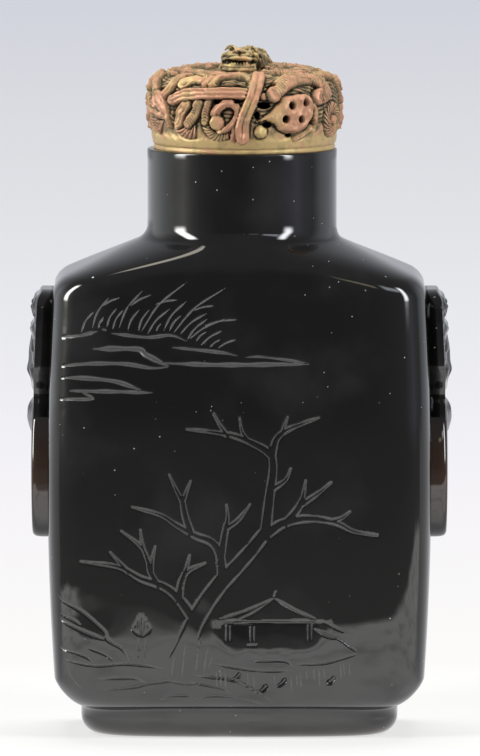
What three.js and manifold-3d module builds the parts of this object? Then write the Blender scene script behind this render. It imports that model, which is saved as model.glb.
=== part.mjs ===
import * as THREE from "three";
import { mergeVertices } from "three/addons/utils/BufferGeometryUtils.js";
import Module from "manifold-3d";

// A flattened snuff bottle of near-black glass with a cut landscape and carved handles,
// and the pierced metal stopper that rests on its lip. Millimetres, +Z up, the landscape
// faces -Y, and the origin is the middle of the underside.

// Driving dimensions of the bottle
const FOOT_HALF_WIDTH = 16.1;
const FOOT_HALF_DEPTH = 8.5;
const FOOT_HEIGHT = 3.15;
const FOOT_ROUNDING = 1.9;
const FOOT_RIM = 3.2;
const FOOT_RECESS = 0.6;
const FOOT_POWER = 4;
const BELLY_TOP = 6;
const BELLY_POWER = 1.4;
const BELLY_TOP_DEPTH = 13;
const WAIST = 27;
const BODY_HALF_WIDTH = 19.5;
const BODY_HALF_DEPTH = 12.1;
const BODY_BULGE_WIDTH = 0.0016;
const BODY_BULGE_DEPTH = 0.0012;
const SHOULDER_Z = 44.7;
const SHOULDER_RADIUS = 2.6;
const SHOULDER_TURN = THREE.MathUtils.degToRad(65.5);
const SLOPE_TOP = 47.45;
const NECK_FILLET = 1.5;
const NECK_Z = 51.6;
const NECK_RADIUS = 9.65;
const NECK_SHIFT = 0.27;
const LIP_Z = 59.5;
const LIP_ROUNDING = 0.45;
const WALL = 3.5;
const BORE_RADIUS = 4.25;
const CAVITY_FLOOR = 6;
const CAVITY_TOP = 45;
const BORE_Z = 49.5;
const CORNER_POWER = 7;
const FACE_CROWN = 0.02;
const AROUND = 24;

// Driving dimensions of the cut lines
const CUT_DEPTH = 0.24;
const CUT_HALF_WIDTH = 0.26;
const CUT_RISE = 0.1;

// Driving dimensions of the handles
const MASK_TOP = 45.2;
const MASK_BOTTOM = 29.6;
const MASK_HALF_WIDTH = 5.2;
const MASK_LIFT = 1.25;
const RING_BOTTOM = 19.8;
const RING_TOP = 34.2;
const RING_HALF_WIDTH = 4.8;
const RING_BAND = 0.95;
const RING_LIFT = 1.65;
const HANDLE_ROOT = 0.8;

// Driving dimensions of the stopper
const CAP_SHIFT = 0.5;
const CAP_RIM_RADIUS = 9.15;
const CAP_RADIUS = 9.6;
const CAP_WALL = 1.0;
const CAP_DOME = 8.3;
const HEAD_TOP = 70;
const CAP_ROOT = 0.6;
const CAP_AROUND = 24;

const wasm = await Module();
wasm.setup();

const { clamp, lerp, smoothstep, degToRad } = THREE.MathUtils;
const CAP_DEGREE = degToRad(1) * CAP_RADIUS;

// Makes a solid of a closed three.js geometry, with its faces turned outward.
function solid(geometry) {
  const bare = geometry.index ? geometry.toNonIndexed() : geometry.clone();
  bare.deleteAttribute("normal");
  bare.deleteAttribute("uv");
  const merged = mergeVertices(bare, 1e-4);
  const index = merged.index;
  const points = merged.attributes.position;
  const corners = [new THREE.Vector3(), new THREE.Vector3(), new THREE.Vector3()];
  const triangles = [];
  let volume = 0;
  for (let i = 0; i < index.count; i += 3) {
    const ids = [index.getX(i), index.getX(i + 1), index.getX(i + 2)];
    if (new Set(ids).size < 3) continue;
    triangles.push(ids);
    corners.forEach((corner, k) => corner.fromBufferAttribute(points, ids[k]));
    volume += corners[0].dot(corners[1].cross(corners[2]));
  }
  const facing = volume < 0 ? triangles.map((ids) => ids.reverse()) : triangles;
  return new wasm.Manifold(new wasm.Mesh({
    numProp: 3,
    vertProperties: Float32Array.from(points.array),
    triVerts: Uint32Array.from(facing.flat()),
  }));
}

// Moves every vertex of a geometry to the place that a function gives for it.
function reshape(geometry, place) {
  const at = geometry.attributes.position;
  const from = new THREE.Vector3();
  for (let i = 0; i < at.count; i++) {
    const to = place(from.fromBufferAttribute(at, i), i);
    at.setXYZ(i, to.x, to.y, to.z);
  }
  return geometry;
}

// Joins a list of solids into one.
function join(solids) {
  return solids.reduce((whole, piece) => whole.add(piece));
}

function signedPower(value, power) {
  return Math.sign(value) * Math.abs(value) ** power;
}

// Half-width of the bottle at a height, as its outline shows from the front.
function halfWidth(z) {
  if (z <= BELLY_TOP) {
    const rise = clamp(1 - (z - FOOT_HEIGHT) / (BELLY_TOP - FOOT_HEIGHT), 0, 1);
    const full = (1 - rise ** BELLY_POWER) ** (1 / BELLY_POWER);
    return barrelWidth(z) - (barrelWidth(FOOT_HEIGHT) - FOOT_HALF_WIDTH) * (1 - full);
  }
  if (z <= SHOULDER_Z) return barrelWidth(z);
  if (z >= NECK_Z) return NECK_RADIUS;
  const corner = SHOULDER_RADIUS * Math.sin(SHOULDER_TURN);
  const centre = barrelWidth(SHOULDER_Z) - SHOULDER_RADIUS;
  if (z <= SHOULDER_Z + corner) {
    return centre + Math.sqrt(SHOULDER_RADIUS ** 2 - (z - SHOULDER_Z) ** 2);
  }
  const drop = NECK_Z - z;
  if (drop < NECK_FILLET * Math.sin(SHOULDER_TURN)) {
    return NECK_RADIUS + NECK_FILLET - Math.sqrt(NECK_FILLET ** 2 - drop * drop);
  }
  const edge = centre + SHOULDER_RADIUS * Math.cos(SHOULDER_TURN);
  return edge - (z - SHOULDER_Z - corner) * Math.tan(SHOULDER_TURN);
}

function barrelWidth(z) {
  return BODY_HALF_WIDTH - BODY_BULGE_WIDTH * (z - WAIST) ** 2;
}

function barrelDepth(z) {
  return BODY_HALF_DEPTH - BODY_BULGE_DEPTH * (z - WAIST) ** 2;
}

// Half-depth of the bottle at a height, as its outline shows from the side.
function halfDepth(z) {
  if (z <= BELLY_TOP_DEPTH) {
    const rise = clamp(1 - (z - FOOT_HEIGHT) / (BELLY_TOP_DEPTH - FOOT_HEIGHT), 0, 1);
    return barrelDepth(z) - (barrelDepth(FOOT_HEIGHT) - FOOT_HALF_DEPTH) * (1 - Math.sqrt(1 - rise ** 2.4));
  }
  if (z <= SLOPE_TOP) return barrelDepth(z);
  const rise = Math.min((z - SLOPE_TOP) / (NECK_Z - SLOPE_TOP), 1);
  return lerp(NECK_RADIUS, barrelDepth(SLOPE_TOP), (1 - rise ** 1.6) ** 1.3);
}

// Power of the section's superellipse: square at the body, round at the neck.
function cornerPower(z) {
  return lerp(CORNER_POWER, 2, smoothstep(z, SHOULDER_Z + 0.15, NECK_Z - 0.85));
}

// Depth of the landscape face at a place on it.
function faceDepth(x, z) {
  const power = cornerPower(z);
  const across = Math.min(Math.abs(x) / halfWidth(z), 1);
  return halfDepth(z) * (1 - across ** power) ** (1 / power) * (1 + FACE_CROWN * (1 - across * across));
}

// The sections of the bottle in order: up the outside, over the lip and down the inside.
function bottleSections() {
  const sections = [];
  const add = (width, depth, z, power, crown = 0) => sections.push({ width, depth, z, power, crown });
  const inset = FOOT_HALF_WIDTH - FOOT_HALF_DEPTH;
  const foot = (width, z) => add(width, Math.max(width - inset, 0), z, FOOT_POWER);
  foot(0, FOOT_RECESS);
  foot(FOOT_HALF_WIDTH - FOOT_RIM - FOOT_RECESS, FOOT_RECESS);
  foot(FOOT_HALF_WIDTH - FOOT_RIM, 0);
  for (const turn of [0, 45, 90].map(degToRad)) {
    foot(FOOT_HALF_WIDTH - FOOT_ROUNDING * (1 - Math.sin(turn)), FOOT_ROUNDING * (1 - Math.cos(turn)));
  }
  const heights = [
    FOOT_HEIGHT, 3.5, 4.2, 5, BELLY_TOP, 9, BELLY_TOP_DEPTH, WAIST, 40,
    SHOULDER_Z, 46.1, 47.1, 48.6, 50.2, 50.9, NECK_Z,
  ];
  for (const z of heights) {
    add(halfWidth(z), halfDepth(z), z, cornerPower(z), z < SLOPE_TOP ? FACE_CROWN : 0);
  }
  for (const turn of [0, 45, 90].map(degToRad)) {
    const radius = NECK_RADIUS - LIP_ROUNDING * (1 - Math.cos(turn));
    add(radius, radius, LIP_Z - LIP_ROUNDING * (1 - Math.sin(turn)), 2);
  }
  add(BORE_RADIUS + LIP_ROUNDING, BORE_RADIUS + LIP_ROUNDING, LIP_Z, 2);
  add(BORE_RADIUS, BORE_RADIUS, LIP_Z - LIP_ROUNDING, 2);
  add(BORE_RADIUS, BORE_RADIUS, BORE_Z, 2);
  for (const z of [CAVITY_TOP + 2, CAVITY_TOP, CAVITY_FLOOR + 4, CAVITY_FLOOR + 1]) {
    const under = smoothstep(BORE_Z - z, 0, BORE_Z - CAVITY_TOP);
    const open = under * smoothstep(z, CAVITY_FLOOR - 4, CAVITY_FLOOR + 4);
    const width = lerp(BORE_RADIUS, barrelWidth(z) - WALL, open);
    add(width, lerp(BORE_RADIUS, barrelDepth(z) - WALL, open), z, lerp(2, 4, open));
  }
  add(0, 0, CAVITY_FLOOR, 2);
  return sections;
}

function bottleBody() {
  const sections = bottleSections();
  const profile = sections.map((section) => new THREE.Vector2(section.width, section.z));
  const lathe = new THREE.LatheGeometry(profile, AROUND);
  return solid(reshape(lathe, (_, i) => {
    const { width, depth, z, power, crown } = sections[i % sections.length];
    const turn = (Math.floor(i / sections.length) % AROUND) / AROUND * 2 * Math.PI;
    const across = signedPower(Math.cos(turn), 2 / power);
    const swell = 1 + crown * (1 - across * across);
    const x = width * across + NECK_SHIFT * smoothstep(z, NECK_Z - 2, NECK_Z);
    return { x, y: depth * signedPower(Math.sin(turn), 2 / power) * swell, z };
  }));
}

// A three-sided cutter that follows a line on the face and runs out at both ends.
function cut(points, weight = 1, side = -1) {
  const curve = new THREE.CatmullRomCurve3(points.map(([x, z]) => new THREE.Vector3(x, 0, z)));
  const steps = clamp(points.length - 1, 2, 3);
  const prism = new THREE.CylinderGeometry(1, 1, 1, 3, steps);
  return solid(reshape(prism, (corner) => {
    const along = corner.y + 0.5;
    const at = curve.getPointAt(along);
    const ahead = curve.getTangentAt(along);
    const size = weight * lerp(0.35, 1, Math.sqrt(Math.sin(Math.PI * along)));
    const over = CUT_HALF_WIDTH * size * corner.x;
    const lift = corner.z > 0.5 ? -CUT_DEPTH * size : CUT_RISE;
    const x = at.x - ahead.z * over;
    const z = at.z + ahead.x * over;
    return { x, y: side * (faceDepth(x, z) + lift), z };
  }));
}

// Limbs of the bare tree as [line from root to tip, half-width at the root, half-width at the tip].
const LIMBS = [
  [[[-5.7, 8.2], [-4.9, 11.1], [-3.4, 14.1], [-1.4, 16.9]], 1.0, 0.75],
  [[[-1.8, 16.4], [0.7, 19], [2.8, 21.7]], 0.75, 0.55],
  [[[2.7, 21.3], [3, 24.7], [3.4, 27.8], [3.2, 29.9]], 0.5, 0.35],
  [[[3.2, 29.5], [0, 31.1], [-2.5, 31.6], [-5.2, 31.7]], 0.35, 0.08],
  [[[3.3, 29.3], [3.9, 31.1], [5.2, 32], [8.1, 33.3]], 0.35, 0.08],
  [[[2.9, 21.5], [4.6, 22.5], [9.7, 22.5], [14, 20.7]], 0.5, 0.08],
  [[[-1.8, 16.6], [-1.9, 19], [-2.8, 20.5], [-4.5, 21.1], [-8, 23.2], [-11, 24]], 0.5, 0.08],
  [[[-4.9, 13], [-6.2, 14.7], [-10, 16.8], [-12.3, 17.9], [-15, 18.4]], 0.5, 0.08],
];

// Twigs of the tree, each a single line.
const TWIGS = [
  [[-1.2, 31.1], [-2, 32.4], [-2.7, 33.5]],
  [[1, 30.5], [0.3, 31.6], [0, 33.1]],
  [[4.4, 31.5], [4.6, 32.4], [4.9, 33.2]],
  [[3.6, 26], [4.8, 26.9], [5.2, 27.9]],
  [[9.4, 22.6], [10.4, 23], [11.2, 23.4]],
  [[5, 22.8], [6.3, 24.4], [6.7, 26.7]],
  [[6, 23.8], [7.7, 25.2], [9.3, 26.6]],
  [[-2, 20], [-1.5, 22], [-1.4, 24.1]],
  [[-1.5, 21.8], [-0.2, 22.8], [1.1, 24]],
  [[-5.2, 21.6], [-5.7, 24.5], [-7.1, 27.3]],
  [[-5.7, 24.7], [-5.3, 25.7], [-4.9, 26.6]],
  [[-6.3, 15], [-5.8, 17], [-5, 19.1]],
  [[-5.7, 16.8], [-5, 17.6], [-3.4, 18]],
  [[-8.6, 16.5], [-9.6, 19.3], [-12.1, 21.4]],
  [[-9, 17.3], [-8.3, 18.6], [-7.7, 19.9]],
  [[-9.4, 19.2], [-9.7, 20.2], [-9.9, 21.4]],
  [[-11.3, 17.5], [-12.5, 18.6], [-13.4, 19.4]],
];

// Water banks, rocks, ground and the pavilion, each a single line.
const LAND = [
  [[-17.9, 41], [-15.6, 41.3], [-14.1, 41.8], [-12, 41.5], [-9, 41.3], [-4.6, 41.1]],
  [[-14.6, 40], [-11, 40], [-9, 39.5], [-7.3, 38.5]],
  [[-18, 38.2], [-13, 38.5], [-7.2, 38.2], [-0.4, 38.3], [6.9, 38.5]],
  [[-5.8, 40.2], [-3, 39.9], [3.1, 39.1], [6.6, 38.8]],
  [[-18, 37], [-14, 36.9], [-11, 36.4], [-9.9, 35.9]],
  [[-17.1, 35.8], [-13, 35.7], [-9, 35.7]],
  [[-18, 34.9], [-14.8, 35]],
  [[-18.3, 14.7], [-15.9, 13.3], [-13.6, 11.3], [-11.9, 9.4], [-11.1, 8.2]],
  [[-18.2, 12.7], [-16.6, 11.7], [-14.3, 10.7], [-12.1, 9.6]],
  [[-18.2, 9.4], [-16.1, 8.9], [-14.9, 8.3]],
  [[-17.6, 8.3], [-15.1, 7.9], [-11, 7.9], [-7.6, 7.4]],
  [[-14.3, 6.3], [-11, 6.5], [-9.6, 6]],
  [[-13.6, 5.2], [-8, 6.2], [-5, 6.2], [-2.5, 5.7], [-1, 4.8]],
  [[-6, 4.2], [-3, 4.6], [0.2, 4.4]],
  [[-4.4, 6.7], [-1, 6.2], [1.6, 5.1], [3.2, 4.3]],
  [[-2.8, 8], [0.6, 7.5], [3.1, 7.2], [5.5, 7.4]],
  [[1.7, 8.5], [4.6, 8.3], [5.5, 7.6]],
  [[5.8, 8], [8.7, 8], [11.8, 9]],
  [[7.6, 11.5], [9.7, 10.6], [11.8, 9.3]],
  [[3.5, 15.4], [3.5, 14.5]],
  [[3.5, 14.6], [-1.8, 12.5]],
  [[3.5, 14.6], [0.4, 12.8]],
  [[3.5, 14.6], [7.7, 12.5]],
  [[-1.8, 12.5], [3.1, 12.2], [7.7, 12.5]],
  [[-1.3, 12.2], [-1.3, 10.2]],
  [[1.3, 12.1], [1.3, 10]],
  [[7.1, 12.2], [7.1, 10.2]],
];

// Both edges of each limb, left out where they lie inside another limb.
function limbEdges() {
  const samples = 14;
  const limbs = LIMBS.map(([points, root, tip]) => {
    const curve = new THREE.CatmullRomCurve3(points.map(([x, z]) => new THREE.Vector3(x, 0, z)));
    return Array.from({ length: samples + 1 }, (_, i) => {
      const along = i / samples;
      const at = curve.getPointAt(along);
      return { at, ahead: curve.getTangentAt(along), half: lerp(root, tip, along) };
    });
  });
  const covered = (x, z, own) => limbs.some((spots) => spots !== own
    && spots.some(({ at, half }) => Math.hypot(at.x - x, at.z - z) < half));
  const edges = [];
  for (const spots of limbs) {
    for (const side of [-1, 1]) {
      let run = [];
      for (const { at, ahead, half } of spots) {
        const place = [at.x - ahead.z * side * half, at.z + ahead.x * side * half];
        if (covered(...place, spots)) {
          if (run.length > 2) edges.push(run);
          run = [];
        } else run.push(place);
      }
      if (run.length > 2) edges.push(run);
    }
  }
  return edges.map((run) => run.filter((_, i) => i % 3 === 0 || i === run.length - 1));
}

// Reeds that lean with the wind along a bank, every third one long.
function reeds(start, end, base, count, side = -1) {
  return Array.from({ length: count }, (_, i) => {
    const along = i / (count - 1);
    const x = lerp(start, end, along);
    const tall = i % 3 === 1 ? 4.6 : 2.2 + 0.8 * Math.sin(2.4 * i);
    const lean = lerp(0.55, 1.05, along);
    const blade = [0, 0.55, 1].map((up) => [
      x + tall * up * Math.sin(lean) * (0.7 + 0.3 * up),
      base + tall * up * Math.cos(lean * up),
    ]);
    return cut(blade, 0.7, side);
  });
}

// Upright grass strokes under the bank in front of the pavilion.
function grass() {
  return Array.from({ length: 7 }, (_, i) => {
    const x = -2.2 + 2.1 * i;
    const top = 7 + 0.9 * smoothstep(i, 4, 10) - 0.3 * Math.sin(i);
    return cut([[x, top], [x + 0.15, top - 1.4 - 0.5 * Math.cos(1.7 * i)]], 0.75);
  });
}

function landscape() {
  const cutters = [...limbEdges(), ...LAND].map((line) => cut(line));
  cutters.push(...TWIGS.map((line) => cut(line, 0.9)));
  cutters.push(...reeds(-16.2, -2.3, 41.5, 19), ...grass());
  return join(cutters);
}

// The plain back: two banks with a row of reeds.
function backScene() {
  const banks = [
    [[-13, 24.6], [-5, 25.3], [4, 24.7], [12, 25.1]],
    [[-9, 23.2], [0, 23.4], [8, 23]],
  ];
  return join([...banks.map((line) => cut(line, 1, 1)), ...reeds(-7, 3, 25.1, 6, 1)]);
}

// A rounded hill of unit height used to model the mask.
function hill(y, z, centreY, centreZ, radiusY, radiusZ) {
  return Math.exp(-(((y - centreY) / radiusY) ** 2) - ((z - centreZ) / radiusZ) ** 2);
}

// How far the mask stands out from the side of the bottle.
function maskLift(y, z) {
  const side = Math.abs(y);
  const horn = 0.8 * hill(side, z, 3.2, 43.9, 1.3, 1);
  const brow = 0.6 * hill(side, z, 2.4, 41.3, 1.9, 0.6);
  const eye = 0.5 * hill(side, z, 2.5, 39.5, 0.9, 0.8);
  const cheek = 0.5 * hill(side, z, 3.6, 37, 1.2, 1);
  const nose = 0.5 * hill(side, z, 0, 38.6, 0.8, 2.4) + 0.4 * hill(side, z, 0, 36.9, 1.5, 0.7);
  const throat = 0.2 * hill(side, z, 0, 34.7, 4, 0.55);
  const jaw = 0.6 * hill(side, z, 0, 32.2, 2.2, 1.4);
  return MASK_LIFT + horn + brow + eye + cheek + nose + jaw - throat;
}

// A mask carved on one side of the bottle: a plate with a modelled front.
function mask(side) {
  const columns = 8;
  const rows = 11;
  const outline = new THREE.SplineCurve([
    [1.6, MASK_BOTTOM], [2.9, 31.2], [3.2, 33], [3, 34.5], [4.3, 35.8], [4.9, 37.2], [4.6, 39.3],
    [MASK_HALF_WIDTH, 41.4], [5, 43.8], [3.4, MASK_TOP],
  ].map(([half, z]) => new THREE.Vector2(half, z)));
  const plate = new THREE.BoxGeometry(2, 1, 2, columns, 1, rows);
  return solid(reshape(plate, (corner) => {
    const edge = outline.getPointAt((corner.z + 1) / 2);
    const y = edge.x * corner.x;
    const z = edge.y - 0.6 * (1 - corner.x ** 2) * smoothstep(corner.z, 0.6, 1);
    const rounding = 0.4 * Math.max(Math.abs(corner.x), Math.abs(corner.z)) ** 8;
    const lift = corner.y > 0 ? maskLift(y, z) - rounding : -HANDLE_ROOT;
    return { x: side * (halfWidth(z) + lift), y, z };
  }));
}

// The mock ring that hangs from the mask, carved in relief on the side.
function ring(side) {
  const middle = (RING_TOP + RING_BOTTOM) / 2;
  const high = (RING_TOP - RING_BOTTOM) / 2 - RING_BAND;
  const wide = RING_HALF_WIDTH - RING_BAND;
  const torus = new THREE.TorusGeometry(2, 1, 5, 20);
  return solid(reshape(torus, (corner) => {
    const turn = Math.atan2(corner.y, corner.x);
    const out = Math.hypot(corner.x, corner.y) - 2;
    const y = Math.cos(turn) * (wide + RING_BAND * out);
    const z = middle + Math.sin(turn) * (high + RING_BAND * out);
    const lift = corner.z > 0 ? RING_LIFT * Math.sqrt(corner.z) : HANDLE_ROOT * corner.z;
    return { x: side * (halfWidth(z) + lift), y, z };
  }));
}

function bottle() {
  const handles = [-1, 1].flatMap((side) => [mask(side), ring(side)]);
  return join([bottleBody(), ...handles]).subtract(landscape()).subtract(backScene());
}

// Outline of the cap's outside from the rim to the middle of the dome, above the lip.
const capOutline = new THREE.Path();
capOutline.moveTo(CAP_RIM_RADIUS, 0);
capOutline.quadraticCurveTo(CAP_RADIUS + 0.05, 2, CAP_RADIUS, 4.6);
capOutline.bezierCurveTo(CAP_RADIUS, 6.6, 9.05, 7.4, 7.6, 7.7);
capOutline.quadraticCurveTo(4, 8.25, 0, CAP_DOME);
const CAP_RUN = capOutline.getLength();

// A place on the cap: degrees round from the front, millimetres up from the rim, and lift.
function onCap(degrees, run, lift = 0) {
  const share = clamp(run / CAP_RUN, 0, 1);
  const at = capOutline.getPointAt(share);
  const ahead = capOutline.getTangentAt(share);
  const radius = at.x + ahead.y * lift;
  const turn = degToRad(degrees);
  return new THREE.Vector3(
    CAP_SHIFT + radius * Math.sin(turn),
    -radius * Math.cos(turn),
    LIP_Z + at.y - ahead.x * lift,
  );
}

function capShell() {
  const steps = 8;
  const outside = Array.from({ length: steps + 1 }, (_, i) => capOutline.getPointAt(i / steps));
  const inside = [
    [0, CAP_DOME - CAP_WALL], [6.4, 6.8], [8.2, 6],
    [CAP_RADIUS - CAP_WALL, 3.8], [CAP_RIM_RADIUS - CAP_WALL, 0],
  ].map(([radius, z]) => new THREE.Vector2(radius, z));
  const profile = [...inside, ...outside];
  const lathe = new THREE.LatheGeometry(profile, CAP_AROUND);
  return solid(reshape(lathe, ({ x, y, z }) => new THREE.Vector3(CAP_SHIFT + x, -z, LIP_Z + y)));
}

// A bar laid on the cap along places given as [degrees, run].
function strap(places, half, lift, taper = 0) {
  const spots = places.map(([degrees, run]) => new THREE.Vector3(degrees * CAP_DEGREE, run, 0));
  const curve = new THREE.CatmullRomCurve3(spots);
  const bar = new THREE.CylinderGeometry(1, 1, 1, 4, places.length, false, Math.PI / 4);
  return solid(reshape(bar, (corner) => {
    const along = corner.y + 0.5;
    const at = curve.getPoint(along);
    const ahead = curve.getTangent(along);
    const over = half * (1 - taper * along) * corner.x;
    const rise = corner.z > 0 ? lift * corner.z : CAP_ROOT * corner.z;
    return onCap((at.x - ahead.y * over) / CAP_DEGREE, at.y + ahead.x * over, rise);
  }));
}

// A round boss on the cap.
function boss([degrees, run], radius, lift) {
  const ball = new THREE.SphereGeometry(1, 6, 4);
  return solid(reshape(ball, ({ x, y, z }) => onCap(
    degrees + radius * x / CAP_DEGREE,
    run + radius * z,
    y > 0 ? lift * y : CAP_ROOT * y,
  )));
}

// A scroll of cloud: a boss with an arm that winds round it.
function scroll([degrees, run], size, hand) {
  const arm = [0, 1 / 3, 2 / 3, 1].map((along) => {
    const turn = hand * lerp(-2.4, 2.2, along);
    const reach = size * lerp(1.9, 1.35, along);
    return [degrees + reach * Math.sin(turn) / CAP_DEGREE, run + reach * Math.cos(turn) * 0.85];
  });
  return [boss([degrees, run], 0.8 * size, 0.5), strap(arm, 0.5 * size, 0.45, 0.4)];
}

// A hole through the cap: an oval prism that points at the middle.
function piercing([degrees, run], halfAcross, halfUp) {
  const prism = new THREE.CylinderGeometry(1, 1, 1, 5, 1);
  const through = 3.6 * CAP_WALL;
  return solid(reshape(prism, ({ x, y, z }) => onCap(
    degrees + halfAcross * x / CAP_DEGREE,
    run + halfUp * z,
    through * y,
  )));
}

function ellipsoid(centre, radii, turn = 0) {
  const ball = new THREE.SphereGeometry(1, 8, 6);
  ball.scale(...radii).rotateX(turn).translate(...centre);
  return solid(ball);
}

// The dragon's head on the middle of the cap, looking to the front and a little left.
function dragonHead() {
  const crown = HEAD_TOP - 1.3;
  const eyes = [[-1.05, -3.3], [0.65, -3.1]];
  return join([
    ellipsoid([0.5, -1.2, crown - 0.4], [2.3, 3.2, 1.35]),
    ellipsoid([-0.3, -3.9, crown - 0.35], [1.5, 1.6, 0.8], 0.25),
    ellipsoid([-0.1, -4.1, crown - 1.6], [1.6, 1.5, 0.5]),
    ...eyes.map(([x, y]) => ellipsoid([x, y, HEAD_TOP - 0.62], [0.6, 0.6, 0.62])),
  ]);
}

function stopper() {
  const straps = [
    strap([[-48, 5.3], [-24, 5.9], [1, 6.1]], 0.5, 0.4),
    strap([[8, 8], [3, 6.6], [-1, 4.6], [-4, 2.8], [-4, 1.2]], 0.7, 0.6),
    strap([[-52, 5.6], [-48, 2.6]], 0.65, 0.4, 0.7),
    strap([[-40, 7.8], [-48, 6.6], [-57, 5]], 0.55, 0.42),
    strap([[-60, 7.2], [-68, 5.4], [-70, 3.4]], 0.6, 0.42),
    strap([[-30, 4.9], [-31, 3.6], [-36, 2.4]], 0.6, 0.42),
    strap([[19, 5.6], [26, 7], [38, 7.6], [50, 7], [58, 5.2]], 0.85, 0.52),
    strap([[78, 6.5], [102, 7.1], [126, 6.6], [150, 7.1]], 0.7, 0.45),
    strap([[190, 7.1], [214, 6.5], [238, 7.1], [262, 6.5]], 0.7, 0.45),
    strap([[30, 11], [90, 10.2], [150, 10.6], [210, 10], [270, 10.6], [325, 11]], 1, 0.35),
  ];
  const leaf = strap([[13, 2.9], [21, 3.7], [31, 4.2], [44, 4.6]], 1.9, 0.45, 0.1);
  const scrolls = [[-17, 3.1], [64, 3.1], [114, 3.3], [162, 3.1], [210, 3.3], [258, 3.1]];
  const raised = [
    ...straps,
    leaf,
    ...scrolls.flatMap((place, i) => scroll(place, i ? 0.95 : 1, i % 2 ? -1 : 1)),
    boss([9, 2], 0.67, 0.5),
    boss([-40, 4.1], 0.75, 0.45),
  ];
  const holes = [
    piercing([-50, 4], 0.35, 1.1),
    piercing([-17.5, 5.1], 0.75, 0.4),
    piercing([-7, 7.3], 1.1, 0.3),
    piercing([10.5, 4.7], 0.75, 1.0),
    piercing([15, 7.2], 0.7, 0.35),
    ...[[28, 4.8], [37, 5], [24, 3.5], [34, 3.5]].map((place) => piercing(place, 0.42, 0.42)),
    ...[90, 138, 186, 234].map((degrees) => piercing([degrees, 4.9], 0.7, 0.6)),
  ];
  return capShell().add(join(raised)).add(dragonHead()).subtract(join(holes));
}

// Turns a finished solid into a named mesh.
function mesh(name, shape, material) {
  const { vertProperties, triVerts } = shape.getMesh();
  const geometry = new THREE.BufferGeometry();
  geometry.setAttribute("position", new THREE.BufferAttribute(vertProperties, 3));
  geometry.setIndex(new THREE.BufferAttribute(triVerts, 1));
  geometry.computeVertexNormals();
  const result = new THREE.Mesh(geometry, new THREE.MeshStandardMaterial(material));
  result.name = name;
  return result;
}

const snuffBottle = new THREE.Group();
snuffBottle.add(mesh("bottle", bottle(), { color: 0x0b0a0a, roughness: 0.08, metalness: 0 }));
snuffBottle.add(mesh("stopper", stopper(), { color: 0xa8764f, roughness: 0.42, metalness: 0.9 }));

export default snuffBottle;
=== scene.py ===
"""A snuff bottle of polished black glass with a cut landscape, and its pierced cast stopper."""

import logging
import math
from dataclasses import dataclass, replace
from enum import Enum

import bmesh
import bpy
import numpy as np
from mathutils import Matrix, Vector
from mathutils.kdtree import KDTree


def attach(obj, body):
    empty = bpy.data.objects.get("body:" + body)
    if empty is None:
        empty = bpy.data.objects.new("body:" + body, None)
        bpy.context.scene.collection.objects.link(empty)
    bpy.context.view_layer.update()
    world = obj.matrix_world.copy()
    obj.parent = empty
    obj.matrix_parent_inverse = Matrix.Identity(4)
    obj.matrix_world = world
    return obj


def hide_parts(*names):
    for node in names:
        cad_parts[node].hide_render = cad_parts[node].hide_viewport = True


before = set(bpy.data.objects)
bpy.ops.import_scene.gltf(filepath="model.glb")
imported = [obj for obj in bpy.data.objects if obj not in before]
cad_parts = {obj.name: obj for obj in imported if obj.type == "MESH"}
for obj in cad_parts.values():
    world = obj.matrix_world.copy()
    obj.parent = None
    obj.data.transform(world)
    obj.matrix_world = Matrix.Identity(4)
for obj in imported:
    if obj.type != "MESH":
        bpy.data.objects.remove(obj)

LOG = logging.getLogger("snuff_bottle")
MM = 0.001
Array = np.ndarray
BMesh = bmesh.types.BMesh
Material = bpy.types.Material
Piece = bpy.types.Object
Socket = bpy.types.NodeSocket
Pair = tuple[float, float]
Triple = tuple[float, float, float]
Points = tuple[Pair, ...]


class Side(Enum):
    """The two broad faces of the bottle, by the sign of their Y."""

    FRONT = -1
    BACK = 1


def smoothstep(value: Array, low: float, high: float) -> Array:
    """Rises smoothly from 0 at low to 1 at high."""
    share = np.clip((value - low) / (high - low), 0.0, 1.0)
    return share * share * (3.0 - 2.0 * share)


def lerp(start: float, end: float, share: Array) -> Array:
    """Goes from start to end as share goes from 0 to 1."""
    return start + (end - start) * share


def hill(y: Array, z: Array, centre: Pair, radii: Pair) -> Array:
    """A rounded hill of unit height at a centre."""
    return np.exp(-(((y - centre[0]) / radii[0]) ** 2) - ((z - centre[1]) / radii[1]) ** 2)


def spline(points: Points, spacing: float) -> Array:
    """Samples a smooth line through points.

    Args:
        points: The places that the line goes through.
        spacing: The distance between samples.

    Returns:
        One row for each sample.
    """
    knots = np.array(points, float)
    padded = np.vstack([2 * knots[0] - knots[1], knots, 2 * knots[-1] - knots[-2]])
    share = np.linspace(0.0, 1.0, 24, endpoint=False)[:, None]
    spans = []
    for i in range(len(knots) - 1):
        a, b, c, d = padded[i:i + 4]
        cubic = (3 * b - a - 3 * c + d) * share**3 + (2 * a - 5 * b + 4 * c - d) * share**2
        spans.append(0.5 * (2 * b + (c - a) * share + cubic))
    line = np.vstack([*spans, knots[-1:]])
    run = np.concatenate([[0.0], np.cumsum(np.linalg.norm(np.diff(line, axis=0), axis=1))])
    at = np.linspace(0.0, run[-1], max(int(run[-1] / spacing), 2) + 1)
    return np.column_stack([np.interp(at, run, column) for column in line.T])


def finish_mesh(name: str, bm: BMesh) -> Piece:
    """Turns a bmesh in millimetres into a smooth object in metres.

    Args:
        name: The piece's name.
        bm: The shape, which is freed.

    Returns:
        The new object, at the origin.
    """
    bmesh.ops.scale(bm, vec=(MM, MM, MM), verts=bm.verts)
    mesh = bpy.data.meshes.new(name)
    bm.to_mesh(mesh)
    bm.free()
    mesh.shade_smooth()
    piece = bpy.data.objects.new(name, mesh)
    bpy.context.scene.collection.objects.link(piece)
    return piece


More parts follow.
